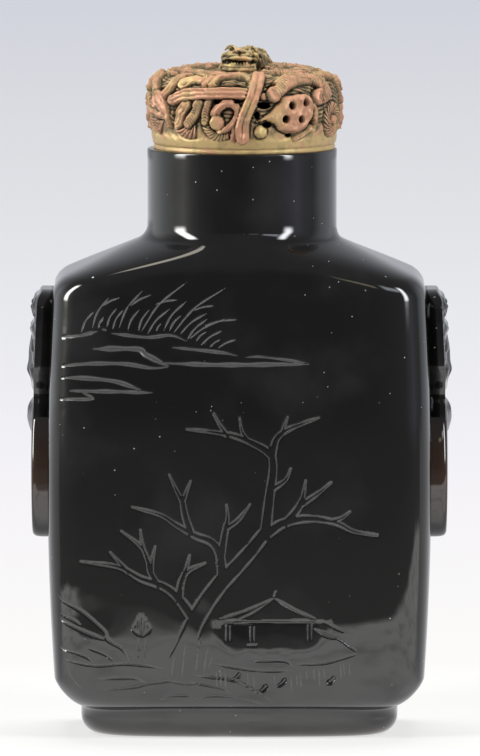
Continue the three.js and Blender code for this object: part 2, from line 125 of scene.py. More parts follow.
def triangles(piece: Piece) -> int:
    """Counts a piece's triangles."""
    return sum(len(face.vertices) - 2 for face in piece.data.polygons)


class Value:
    """A number's socket in a node tree, with Python's operators as Math nodes."""

    def __init__(self, graph: "Graph", socket: Socket) -> None:
        """Keeps the graph and the socket."""
        self.graph = graph
        self.socket = socket

    def _math(self, operation: str, first: "Value | float", second: "Value | float") -> "Value":
        """Adds a Math node."""
        return self.graph.add("ShaderNodeMath", {"operation": operation}, {0: first, 1: second}).value(0)

    def __add__(self, other: "Value | float") -> "Value":
        """self + other."""
        return self._math("ADD", self, other)

    def __radd__(self, other: float) -> "Value":
        """other + self."""
        return self._math("ADD", other, self)

    def __sub__(self, other: "Value | float") -> "Value":
        """self - other."""
        return self._math("SUBTRACT", self, other)

    def __rsub__(self, other: float) -> "Value":
        """other - self."""
        return self._math("SUBTRACT", other, self)

    def __mul__(self, other: "Value | float") -> "Value":
        """self * other."""
        return self._math("MULTIPLY", self, other)

    def __rmul__(self, other: float) -> "Value":
        """other * self."""
        return self._math("MULTIPLY", other, self)

    def __pow__(self, other: "Value | float") -> "Value":
        """self ** other."""
        return self._math("POWER", self, other)

    def less(self, other: "Value | float") -> "Value":
        """1 where self is under other, and 0 elsewhere."""
        return self._math("LESS_THAN", self, other)

    def most(self, other: "Value | float") -> "Value":
        """The larger of the two."""
        return self._math("MAXIMUM", self, other)

    def sine(self) -> "Value":
        """The sine of self."""
        return self._math("SINE", self, 0.0)

    def arcsine(self) -> "Value":
        """The angle whose sine is self."""
        return self._math("ARCSINE", self, 0.0)

    def angle(self, other: "Value") -> "Value":
        """The angle whose tangent is self over other."""
        return self._math("ARCTAN2", self, other)

    def smooth(self, low: float, high: float) -> "Value":
        """Rises smoothly from 0 at low to 1 at high, or falls where high is under low.

        Args:
            low: Where it is 0.
            high: Where it is 1.

        Returns:
            The new value.
        """
        ends = {"From Min": low, "From Max": high}
        if low > high:
            return 1.0 - self.smooth(high, low)
        settings = {"interpolation_type": "SMOOTHSTEP"}
        return self.graph.add("ShaderNodeMapRange", settings, {"Value": self, **ends}).value("Result")


class Node:
    """A node whose sockets are read by name or number."""

    def __init__(self, graph: "Graph", node: bpy.types.Node) -> None:
        """Keeps the graph and the node."""
        self.graph = graph
        self.node = node

    def value(self, key: str | int) -> Value:
        """An output as a number."""
        return Value(self.graph, self.node.outputs[key])

    def socket(self, key: str | int) -> Socket:
        """An output as a colour, vector or shader."""
        return self.node.outputs[key]


class Graph:
    """Builds a node tree."""

    def __init__(self, tree: bpy.types.NodeTree) -> None:
        """Starts from an empty tree."""
        self.tree = tree
        tree.nodes.clear()

    def add(self, kind: str, settings: dict, sockets: dict) -> Node:
        """Adds a node.

        Args:
            kind: The node's type.
            settings: Its properties, and "stops" for a ramp's positions and colours.
            sockets: The values or links of its inputs, by name or number.

        Returns:
            The node.
        """
        node = self.tree.nodes.new(kind)
        for name, setting in settings.items():
            if name == "stops":
                self._stops(node.color_ramp, setting)
            else:
                setattr(node, name, setting)
        for key, given in sockets.items():
            source = given.socket if isinstance(given, Value) else given
            if isinstance(source, Socket):
                self.tree.links.new(source, node.inputs[key])
            else:
                node.inputs[key].default_value = source
        return Node(self, node)

    @staticmethod
    def _stops(ramp: bpy.types.ColorRamp, stops: list[tuple[float, tuple]]) -> None:
        """Sets a ramp's positions and colours.

        Args:
            ramp: The ramp.
            stops: Its positions and colours, in order.
        """
        while len(ramp.elements) < len(stops):
            ramp.elements.new(0.5)
        for element, (place, colour) in zip(ramp.elements, stops):
            element.position = place
            element.color = (*colour, 1.0)

    def mix(self, share: Value | float, first: object, second: object) -> Socket:
        """Blends two colours, each a socket or a triple.

        Args:
            share: The second colour's share.
            first: The first colour.
            second: The second colour.

        Returns:
            The blend.
        """
        colours = {
            key: colour if isinstance(colour, Socket) else (*colour, 1.0)
            for key, colour in ((6, first), (7, second))
        }
        return self.add("ShaderNodeMix", {"data_type": "RGBA"}, {0: share, **colours}).socket(2)

    def ramp(self, share: Value, stops: tuple) -> Socket:
        """A colour looked up between stops."""
        return self.add("ShaderNodeValToRGB", {"stops": stops}, {0: share}).socket("Color")

    def attribute(self, name: str) -> Value:
        """A number stored on the mesh."""
        return self.add("ShaderNodeAttribute", {"attribute_name": name}, {}).value("Fac")

    def coordinates(self) -> Socket:
        """Places on the object, in metres."""
        return self.add("ShaderNodeTexCoord", {}, {}).socket("Object")

    def noise(self, place: Socket, scale: float, detail: float = 3.0) -> Value:
        """Soft noise, about 0 to 1."""
        sockets = {"Vector": place, "Scale": scale, "Detail": detail}
        return self.add("ShaderNodeTexNoise", {}, sockets).value(0)


def new_material(name: str) -> tuple[Material, Graph]:
    """Makes an empty material and its graph.

    Args:
        name: The material's name.

    Returns:
        The material and its graph.
    """
    material = bpy.data.materials.new(name)
    material.use_nodes = True
    return material, Graph(material.node_tree)


@dataclass(frozen=True)
class GlassFinish:
    """Polished near-black glass whose cut lines are left matte."""

    black: Triple = (0.0025, 0.0023, 0.0023)
    film: Triple = (0.009, 0.009, 0.009)
    # The brown below is a painted glow: light shining through thin glass, given as colour.
    painted_glow_brown: Triple = (0.030, 0.013, 0.006)
    cut_grey: Triple = (0.070, 0.070, 0.068)
    dust: Triple = (0.34, 0.34, 0.33)
    polish: float = 0.045
    cut_roughness: float = 0.55
    index: float = 1.56
    specks: Pair = (820.0, 0.055)
    flecks: Pair = (260.0, 0.03)

    def material(self) -> Material:
        """Makes the material.

        Returns:
            The material.
        """
        material, graph = new_material("black_glass")
        place = graph.coordinates()
        cut = graph.attribute("cut").smooth(1.06, 0.72) * graph.attribute("frost")
        thin = graph.attribute("thin")
        grain = graph.noise(place, 4200.0)
        worn_cut = cut * (0.55 + 0.75 * grain).most(0.0)
        specks = self._specks(graph, place, *self.specks)
        flecks = self._specks(graph, place, *self.flecks)
        smear = graph.noise(place, 90.0, 5.0)
        dust = specks.most(flecks) * graph.noise(place, 60.0, 2.0).smooth(0.4, 0.6)
        clouded = graph.mix(smear.smooth(0.48, 0.74), self.black, self.film)
        # Painted glow: brown where the glass is thin, standing in for light shining through it.
        body = graph.mix(thin, clouded, self.painted_glow_brown)
        dusty = graph.mix(dust * 0.8, body, self.dust)
        colour = graph.mix(worn_cut.smooth(0.0, 1.0), dusty, self.cut_grey)
        roughness = self.polish + 0.035 * smear.smooth(0.5, 0.8) + self.cut_roughness * cut + 0.4 * dust
        wave = graph.noise(place, 55.0, 1.5)
        scratch = graph.noise(place, 6000.0, 2.0)
        height = wave * 0.00016 + scratch * cut * 0.00002
        bump = graph.add("ShaderNodeBump", {}, {"Strength": 0.5, "Distance": 1.0, "Height": height})
        shader = graph.add("ShaderNodeBsdfPrincipled", {}, {
            "Base Color": colour, "Roughness": roughness, "IOR": self.index, "Normal": bump.socket("Normal"),
        })
        graph.add("ShaderNodeOutputMaterial", {}, {"Surface": shader.socket("BSDF")})
        return material

    @staticmethod
    def _specks(graph: Graph, place: Socket, scale: float, size: float) -> Value:
        """Small scattered dust: most of the cells of a pattern hold a dot.

        Args:
            graph: The material's graph.
            place: Places on the piece.
            scale: Cells in a metre.
            size: A dot's radius, as a share of a cell.

        Returns:
            1 on a dot, and 0 elsewhere.
        """
        cells = graph.add("ShaderNodeTexVoronoi", {}, {"Vector": place, "Scale": scale, "Randomness": 1.0})
        tint = graph.add("ShaderNodeSeparateColor", {}, {0: cells.socket("Color")})
        dusty_share = 0.7
        return cells.value("Distance").less(size) * tint.value(0).less(dusty_share)


@dataclass(frozen=True)
class CastFinish:
    """Cast copper alloy: worn pink on top, gilt in places, olive in the recesses, with black painted shade
    in the deepest recesses and inside.
    """

    copper: Triple = (0.365, 0.190, 0.112)
    gilt: Triple = (0.385, 0.280, 0.120)
    bronze: Triple = (0.165, 0.127, 0.066)
    patina: Triple = (0.050, 0.035, 0.017)
    # Painted shade: near black for the deepest recesses and the inside of the cap.
    painted_shade_black: Triple = (0.008, 0.006, 0.005)
    shine: float = 0.3

    def material(self) -> Material:
        """Makes the material.

        Returns:
            The material.
        """
        material, graph = new_material("cast_metal")
        place = graph.coordinates()
        relief = graph.attribute("relief")
        gilt = graph.attribute("gilt")
        inside = graph.attribute("inside")
        blotch = graph.noise(place, 800.0, 4.0)
        cloud = graph.noise(place, 330.0, 2.0)
        grain = graph.noise(place, 5200.0, 3.0)
        drawn = graph.add("ShaderNodeMapping", {}, {"Vector": place, "Scale": (1.0, 1.0, 0.15)}).socket(0)
        streak = graph.noise(drawn, 4200.0, 2.0)
        ridge = (graph.attribute("comb") * (2.0 * math.pi)).sine()
        furrow = ridge.smooth(0.2, -0.75) * graph.attribute("combed")
        # The level is partly how worn or tarnished the metal is and partly painted shade: low levels stand
        # for recesses and furrows in shade and come out darker.
        level = relief + 0.24 * (blotch - 0.5) + 0.12 * (grain - 0.5) - 0.36 * furrow
        bare = gilt * (1.0 - 0.75 * blotch.smooth(0.52, 0.62)) * (0.75 + 0.5 * streak)
        metal = graph.mix(bare.most(cloud.smooth(0.5, 0.62) * 0.6), self.copper, self.gilt)
        tarnished = graph.mix(blotch.smooth(0.46, 0.34) * 0.45, metal, self.bronze)
        worn = graph.mix(level.smooth(0.36, 0.64), self.bronze, tarnished)
        dull = graph.mix(level.smooth(0.16, 0.42), self.patina, worn)
        # Painted shade: the lowest levels turn near black, and so does the inside.
        deep = graph.mix(level.smooth(-0.1, 0.12), self.painted_shade_black, dull)
        colour = graph.mix(inside, deep, self.painted_shade_black)
        roughness = 0.62 - 0.2 * level.smooth(0.3, 0.9)
        height = grain * 0.00003 + blotch * 0.00005 - furrow * 0.00006 + streak * gilt * 0.00001
        bump = graph.add("ShaderNodeBump", {}, {"Strength": 0.6, "Distance": 1.0, "Height": height})
        shader = graph.add("ShaderNodeBsdfPrincipled", {}, {
            "Base Color": colour, "Roughness": roughness, "Metallic": self.shine,
            "Normal": bump.socket("Normal"),
        })
        graph.add("ShaderNodeOutputMaterial", {}, {"Surface": shader.socket("BSDF")})
        return material


@dataclass(frozen=True)
class Cut:
    """A line cut into a face, in millimetres."""

    points: Points
    half: float = 0.17
    depth: float = 0.12
    frost: float = 0.6

    def samples(self) -> Array:
        """Samples the line, uneven and fading at both ends.

        Returns:
            Rows of x, z, half-width, depth and frost.
        """
        line = spline(self.points, 0.07)
        share = np.linspace(0.0, 1.0, len(line))
        fade = 0.35 + 0.65 * np.minimum(1.0, 5.0 * np.minimum(share, 1.0 - share))
        fade *= 1.0 + 0.16 * np.sin(1.9 * line[:, 0] + 2.7 * line[:, 1])
        return np.column_stack([line, self.half * fade, self.depth * fade, np.full(len(line), self.frost)])


@dataclass(frozen=True)
class Dip:
    """A wide shallow hollow that a part of the landscape is cut into, in millimetres."""

    centre: Pair
    radii: Pair
    depth: float


@dataclass(frozen=True)
class Limb:
    """A limb of the tree, drawn by its two edges."""

    points: Points
    root: float
    tip: float = 0.05

    def centre(self) -> Array:
        """Rows of x, z and half-width along the limb."""
        line = spline(self.points, 0.07)
        return np.column_stack([line, np.linspace(self.root, self.tip, len(line))])

    def edges(self) -> Array:
        """Samples both edges of the limb.

        Returns:
            Rows of x and z.
        """
        spots = self.centre()
        ahead = np.gradient(spots[:, :2], axis=0)
        ahead /= np.linalg.norm(ahead, axis=1, keepdims=True)
        over = np.column_stack([-ahead[:, 1], ahead[:, 0]]) * spots[:, 2:]
        return np.vstack([spots[:, :2] + over, spots[:, :2] - over])


LIMBS = (
    Limb(((-6.0, 7.7), (-5.4, 9.6), (-5.0, 11.2)), 1.5, 0.85),
    Limb(((-5.2, 10.4), (-4.6, 12.0), (-3.3, 14.3), (-1.5, 16.8)), 0.9, 0.8),
    Limb(((-1.9, 16.2), (0.7, 19.0), (2.7, 21.5)), 0.78, 0.6),
    Limb(((2.6, 21.0), (3.0, 24.7), (3.4, 27.8), (3.2, 29.9)), 0.55, 0.33),
    Limb(((3.3, 29.2), (2.3, 30.0), (-0.1, 31.1), (-2.5, 31.6), (-5.4, 31.9)), 0.38),
    Limb(((-1.2, 31.2), (-2.0, 32.4), (-2.6, 33.5)), 0.22),
    Limb(((1.1, 30.5), (0.3, 31.6), (0.0, 33.1)), 0.22),
    Limb(((3.3, 29.3), (3.8, 31.0), (5.2, 32.0), (8.1, 33.1)), 0.36),
    Limb(((4.3, 31.4), (4.6, 32.4), (4.9, 33.2)), 0.2),
    Limb(((3.3, 25.8), (4.6, 26.7), (5.2, 27.9)), 0.28),
    Limb(((2.8, 21.3), (4.6, 22.4), (7.1, 22.8), (9.7, 22.4), (11.6, 21.5), (14.0, 21.1)), 0.5),
    Limb(((9.2, 22.5), (10.2, 22.8), (11.2, 23.5)), 0.22),
    Limb(((4.6, 22.3), (5.7, 23.5), (6.4, 24.8)), 0.4, 0.28),
    Limb(((6.2, 24.2), (6.5, 25.5), (6.7, 26.7)), 0.26),
    Limb(((6.2, 24.2), (7.7, 25.2), (9.3, 26.5)), 0.26),
    Limb((
        (-1.7, 16.3), (-1.95, 19.0), (-2.8, 20.4), (-4.5, 21.1), (-6.4, 22.2), (-8.0, 23.2), (-10.9, 24.0),
    ), 0.5),
    Limb(((-1.95, 18.2), (-1.6, 20.6), (-1.3, 22.2)), 0.38, 0.26),
    Limb(((-1.35, 21.8), (-1.2, 23.0), (-1.3, 24.2)), 0.24),
    Limb(((-1.35, 21.8), (-0.1, 22.7), (1.1, 24.3)), 0.24),
    Limb(((-4.9, 21.3), (-5.5, 23.2), (-5.8, 25.0)), 0.36, 0.24),
    Limb(((-5.8, 24.6), (-6.5, 26.0), (-7.1, 27.3)), 0.22),
    Limb(((-5.7, 24.6), (-5.3, 25.7), (-4.9, 26.7)), 0.2),
    Limb(((-4.8, 12.7), (-6.2, 14.7), (-7.7, 15.9), (-10.0, 16.7), (-12.3, 17.9), (-16.1, 18.4)), 0.5),
    Limb(((-6.1, 14.4), (-5.9, 16.1), (-5.5, 17.3)), 0.36, 0.25),
    Limb(((-5.7, 16.8), (-5.3, 17.9), (-5.0, 19.1)), 0.22),
    Limb(((-5.7, 16.8), (-5.0, 17.6), (-3.4, 18.3)), 0.22),
    Limb(((-8.2, 15.9), (-9.0, 17.4), (-9.2, 18.4)), 0.3, 0.22),
    Limb(((-9.1, 18.1), (-9.9, 19.9), (-12.0, 21.6)), 0.22),
    Limb(((-8.9, 17.2), (-8.8, 18.6), (-8.5, 20.0)), 0.22),
    Limb(((-9.4, 18.9), (-9.8, 20.1), (-10.0, 21.7)), 0.2),
    Limb(((-11.2, 17.3), (-12.2, 18.4), (-13.1, 19.4)), 0.22),
)

BANKS = (
    Cut(((-17.9, 41.1), (-16.2, 41.3), (-14.3, 41.8))),
    Cut(((-13.9, 42.0), (-13.4, 41.9)), 0.14),
    Cut(((-13.0, 41.6), (-9.3, 41.2), (-6.9, 41.4), (-5.3, 40.8))),
    Cut(((-14.8, 40.0), (-10.4, 40.0), (-9.4, 39.4), (-7.2, 38.3)), 0.27, 0.18),
    Cut(((-6.8, 40.2), (-4.0, 39.9), (-1.4, 39.6), (-0.1, 39.3))),
    Cut(((0.6, 39.2), (2.5, 39.2), (7.0, 38.6)), 0.13, 0.09),
    Cut(((-7.6, 38.6), (-1.8, 38.4), (7.0, 38.5)), 0.22, 0.15),
    Cut(((-17.9, 38.2), (-15.1, 38.5), (-11.6, 38.5), (-8.9, 38.1), (-7.3, 38.2)), 0.21),
    Cut(((-17.9, 37.0), (-15.3, 37.0), (-12.5, 36.7), (-10.0, 35.9)), 0.22, 0.15),
    Cut(((-17.2, 35.7), (-13.0, 35.7), (-8.8, 35.6)), 0.2),
    Cut(((-16.0, 35.7), (-14.6, 34.9)), 0.16),
    Cut(((-18.1, 34.8), (-14.6, 34.9)), 0.16),
)

REEDS = (
    ((-16.0, 41.6), (-14.7, 43.8)), ((-14.9, 41.9), (-13.2, 45.2)), ((-13.9, 44.3), (-12.1, 45.2)),
    ((-14.3, 42.0), (-13.7, 43.2)), ((-13.4, 42.2), (-12.4, 44.1)), ((-12.8, 42.0), (-11.7, 44.0)),
    ((-12.2, 42.0), (-9.7, 46.0)), ((-11.1, 44.3), (-8.9, 45.5)), ((-11.3, 41.8), (-10.1, 44.0)),
    ((-10.2, 41.8), (-9.1, 44.0)), ((-9.9, 41.8), (-5.3, 46.8)), ((-8.5, 44.5), (-6.3, 45.0)),
    ((-9.3, 41.5), (-7.0, 44.1)), ((-8.4, 41.8), (-7.9, 42.6)), ((-7.7, 41.8), (-5.3, 44.9)),
    ((-7.1, 41.8), (-5.8, 43.5)), ((-6.7, 41.6), (-1.4, 46.2)), ((-4.7, 43.9), (-2.6, 44.4)),
    ((-6.0, 41.5), (-3.2, 43.7)), ((-5.3, 40.9), (-3.2, 43.1)), ((-5.1, 41.0), (-1.4, 43.1)),
    ((-3.5, 42.4), (-0.2, 43.0)), ((-4.4, 40.8), (-3.3, 41.8)), ((-3.9, 40.4), (-1.7, 41.9)),
    ((-3.0, 40.2), (-1.9, 41.0)), ((-2.2, 40.1), (-0.3, 41.0)),
)

PAVILION = (
    Cut(((3.7, 15.5), (3.5, 14.7)), 0.15),
    Cut(((3.5, 14.7), (0.8, 13.5), (-1.9, 12.6)), 0.17),
    Cut(((3.5, 14.7), (1.5, 13.3), (-0.1, 12.5)), 0.14, 0.1),
    Cut(((3.5, 14.7), (5.6, 13.5), (7.7, 12.6)), 0.2, 0.15),
    Cut(((-2.0, 12.6), (0.6, 12.3), (2.2, 12.3), (7.5, 12.5)), 0.16),
    Cut(((-0.9, 12.1), (1.4, 12.0)), 0.12, 0.09),
    Cut(((-1.35, 12.2), (-1.35, 10.2)), 0.14),
    Cut(((-0.95, 12.1), (-0.95, 10.2)), 0.12),
    Cut(((1.1, 12.0), (1.1, 10.0)), 0.13),
    Cut(((1.5, 12.0), (1.5, 10.0)), 0.12),
    Cut(((6.9, 12.2), (6.9, 10.2)), 0.14),
    Cut(((7.3, 12.2), (7.3, 10.2)), 0.12),
    Cut(((0.7, 9.9), (1.9, 9.9)), 0.13),
)

GROUND = (
    Cut(((7.3, 11.9), (8.2, 12.4), (10.5, 11.3)), 0.16),
    Cut(((7.6, 11.5), (9.0, 10.9), (10.2, 10.6), (11.8, 9.3)), 0.27, 0.2),
    Cut(((11.8, 9.0), (9.5, 8.3), (7.8, 8.0), (5.9, 8.0)), 0.19),
    Cut(((-2.8, 8.1), (-0.8, 7.7), (2.0, 7.3), (5.3, 7.3)), 0.2),
    Cut(((5.5, 7.5), (4.6, 8.3), (1.4, 8.3)), 0.18),
    Cut(((-4.5, 6.8), (-0.7, 6.3), (1.3, 5.3), (3.5, 3.9)), 0.27, 0.2),
    Cut(((-5.0, 6.1), (-3.2, 5.7), (-1.7, 5.3), (-0.9, 4.9)), 0.18),
    Cut(((-5.0, 4.1), (-2.7, 4.6), (0.3, 4.3), (2.4, 3.6)), 0.22),
    Cut(((-7.9, 4.2), (-6.6, 4.6), (-4.8, 4.6)), 0.2),
    Cut((
        (-18.4, 14.8), (-17.7, 14.2), (-15.8, 13.2), (-13.7, 11.4), (-13.3, 10.5), (-11.9, 9.6),
        (-11.1, 8.3),
    ), 0.24),
    Cut(((-18.3, 12.5), (-17.2, 11.9), (-15.3, 11.1), (-13.7, 10.5)), 0.22),
    Cut(((-18.0, 12.9), (-16.7, 12.3), (-16.1, 11.9)), 0.16),
    Cut(((-18.3, 9.5), (-15.8, 8.8), (-14.9, 8.2)), 0.2),
    Cut(((-15.3, 9.6), (-13.7, 9.0), (-12.6, 8.2)), 0.19),
    Cut(((-17.7, 8.3), (-14.8, 7.8), (-11.0, 8.0), (-7.5, 7.5)), 0.22),
    Cut(((-14.3, 6.4), (-12.4, 6.5), (-10.7, 6.5), (-9.4, 6.0)), 0.22),
    Cut(((-13.7, 5.2), (-11.0, 5.5), (-9.2, 5.9), (-7.2, 6.2), (-5.6, 5.9), (-4.0, 5.9)), 0.24),
    Cut(((-17.5, 7.7), (-16.9, 6.3), (-15.9, 5.2)), 0.1, 0.06),
    Cut(((-10.2, 10.6), (-10.3, 8.5)), 0.13),
    Cut(((-9.5, 10.6), (-9.6, 8.5)), 0.13),
)


@dataclass(frozen=True)
class Ledge:
    """A field that slopes in from its lower edge to a step under its upper edge, in millimetres."""

    x: Pair
    z: Pair
    depth: float

    def sink(self, x: Array, z: Array) -> Array:
        """Depth of the field at each place.

        Args:
            x: Places across.
            z: Heights.

        Returns:
            The depths.
        """
        left, right = self.x
        sides = smoothstep(x, left - 1.0, left + 1.4) * (1.0 - smoothstep(x, right - 3.0, right))
        bottom = self.z[0] + 0.5 * np.sin(1.1 * x + 0.6) + 0.25 * np.sin(2.7 * x)
        slope = np.clip((z - bottom) / (self.z[1] - bottom), 0.0, 1.0) ** 1.3
        return self.depth * slope * sides * (1.0 - smoothstep(z, self.z[1], self.z[1] + 0.2))


FAR = 4.0
LIMB_LINE = 0.095
LIMB_OVERLAP = 0.03
LEDGE = Ledge((-2.0, 9.6), (8.3, 12.2), 0.42)

DIPS = (
    Dip((-3.7, 12.6), (1.5, 2.4), 0.1),
    Dip((-9.8, 11.0), (2.3, 2.2), 0.1),
    Dip((-15.6, 13.0), (3.0, 2.0), 0.12),
    Dip((1.5, 5.6), (4.5, 1.2), 0.1),
)


@dataclass(frozen=True)
class Scenery:
    """Everything cut into one face, as a cloud of samples that can be asked for the depth at a place."""

    side: Side
    rows: Array
    tree: KDTree
    dips: tuple[Dip, ...]

    @classmethod
    def make(
        cls, side: Side, cuts: list[Cut], limbs: tuple[Limb, ...] = (), dips: tuple[Dip, ...] = (),
    ) -> "Scenery":
        """Gathers the samples of lines and limbs.

        Args:
            side: The face.
            cuts: The single lines.
            limbs: The limbs, whose edges are left out where another limb covers them.
            dips: The wide hollows.

        Returns:
            The scenery.
        """
        parts = [cut.samples() for cut in cuts]
        centres = [limb.centre() for limb in limbs]
        for own, limb in enumerate(limbs):
            edge = limb.edges()
            keep = np.ones(len(edge), bool)
            for other, spots in enumerate(centres):
                if other == own:
                    continue
                gaps = np.linalg.norm(edge[:, None, :] - spots[None, :, :2], axis=2) - spots[None, :, 2]
                keep &= gaps.min(axis=1) > -LIMB_OVERLAP
            half = LIMB_LINE * (1.0 + 0.2 * np.sin(2.1 * edge[:, 0] + 1.7 * edge[:, 1]))
            frost = 0.2 + 0.35 * smoothstep(edge[:, 1], 9.0, 17.0)
            parts.append(np.column_stack([edge, half, half * 0.8, frost])[keep])
        rows = np.vstack(parts)
        tree = KDTree(len(rows))
        for i, (x, z) in enumerate(rows[:, :2]):
            tree.insert((x, 0.0, z), i)
        tree.balance()
        return cls(side, rows, tree, dips)

    def nearest(self, x: Array, z: Array) -> tuple[Array, Array]:
        """The distance to the nearest sample and its number, for each place."""
        found = [self.tree.find((a, 0.0, b)) for a, b in zip(x, z)]
        return np.array([hit[2] for hit in found]), np.array([hit[1] for hit in found])

    def carve(self, x: Array, z: Array) -> tuple[Array, Array, Array]:
        """Reads the cuts at each place.

        Args:
            x: Places across.
            z: Heights.

        Returns:
            How deep the cut is, how near its middle the place is, and how matte it is.
        """
        gap, number = self.nearest(x, z)
        share = gap / self.rows[number, 2]
        depth = self.rows[number, 3] * np.clip(1.0 - share * share, 0.0, 1.0)
        for dip in self.dips:
            depth += dip.depth * hill(x, z, dip.centre, dip.radii)
        if self.side is Side.FRONT:
            depth += LEDGE.sink(x, z)
        return depth, np.minimum(share, FAR), self.rows[number, 4]


def front_cuts() -> list[Cut]:
    """All single lines of the landscape.

    Returns:
        The lines.
    """
    cuts = [*BANKS, *[replace(cut, half=0.75 * cut.half, frost=0.5) for cut in (*PAVILION, *GROUND)]]
    for (x0, z0), (x1, z1) in REEDS:
        bow = ((x0 + x1) / 2 - 0.1 * (z1 - z0), (z0 + z1) / 2 + 0.05 * (x1 - x0))
        cuts.append(Cut(((x0, z0), bow, (x1, z1)), 0.1, 0.07, 0.9))
    strokes = ((4.3, 6.0), (9.3, 6.3), (2.4, 5.3), (-0.3, 6.6))
    jitter = np.random.default_rng(7)
    for i in range(26):
        x = lerp(-2.4, 11.2, i / 25) + jitter.uniform(-0.15, 0.15)
        if min(abs(x - middle) for middle, _ in strokes) < 0.6:
            continue
        ridge = np.interp(x, (-2.8, 2.0, 5.4, 7.8, 11.8), (7.9, 7.2, 7.2, 7.8, 8.8))
        top = ridge - jitter.uniform(0.1, 0.5)
        drop = jitter.uniform(1.0, 2.3)
        cuts.append(Cut(((x, top), (x + 0.1, top - drop)), 0.08, 0.06, 0.6))
    for x, z in strokes:
        cuts.append(Cut(((x - 0.45, z - 0.45), (x + 0.1, z), (x + 0.4, z + 0.5)), 0.32, 0.3, 0.05))
    bark = ((-6.9, 6.6, 9.0), (-5.8, 6.7, 10.2), (-4.4, 7.0, 10.6), (-3.6, 7.2, 9.6), (-3.1, 7.6, 8.8))
    for x, bottom, top in bark:
        cuts.append(Cut(((x, bottom), (x + 0.15, (bottom + top) / 2), (x + 0.4, top)), 0.09, 0.06, 0.5))
    for reach, top in ((0.8, 12.3), (0.5, 12.9), (0.2, 13.3)):
        for way in (-1.0, 1.0):
            leaf = ((-9.9 + 0.1 * way, 10.8), (-9.9 + way * reach, 11.5), (-9.9 + 0.7 * way * reach, top))
            cuts.append(Cut(leaf, 0.12, 0.1, 0.4))
    return cuts


def back_cuts() -> list[Cut]:
    """The plainer back: two banks and a row of reeds.

    Returns:
        The lines.
    """
    cuts = [
        Cut(((-13.0, 24.6), (-5.0, 25.3), (4.0, 24.7), (12.0, 25.1)), 0.22, 0.15),
        Cut(((-9.0, 23.2), (0.0, 23.4), (8.0, 23.0))),
    ]
    for i in range(14):
        x = lerp(-7.5, 3.5, i / 13)
        tall = 4.4 if i % 3 == 1 else 2.2 + 0.8 * math.sin(2.4 * i)
        lean = lerp(0.5, 1.0, i / 13)
        blade = tuple(
            (x + tall * up * math.sin(lean), 25.1 + tall * up * math.cos(lean * up))
            for up in (0.0, 0.5, 1.0)
        )
        cuts.append(Cut(blade, 0.13, 0.09))
    return cuts


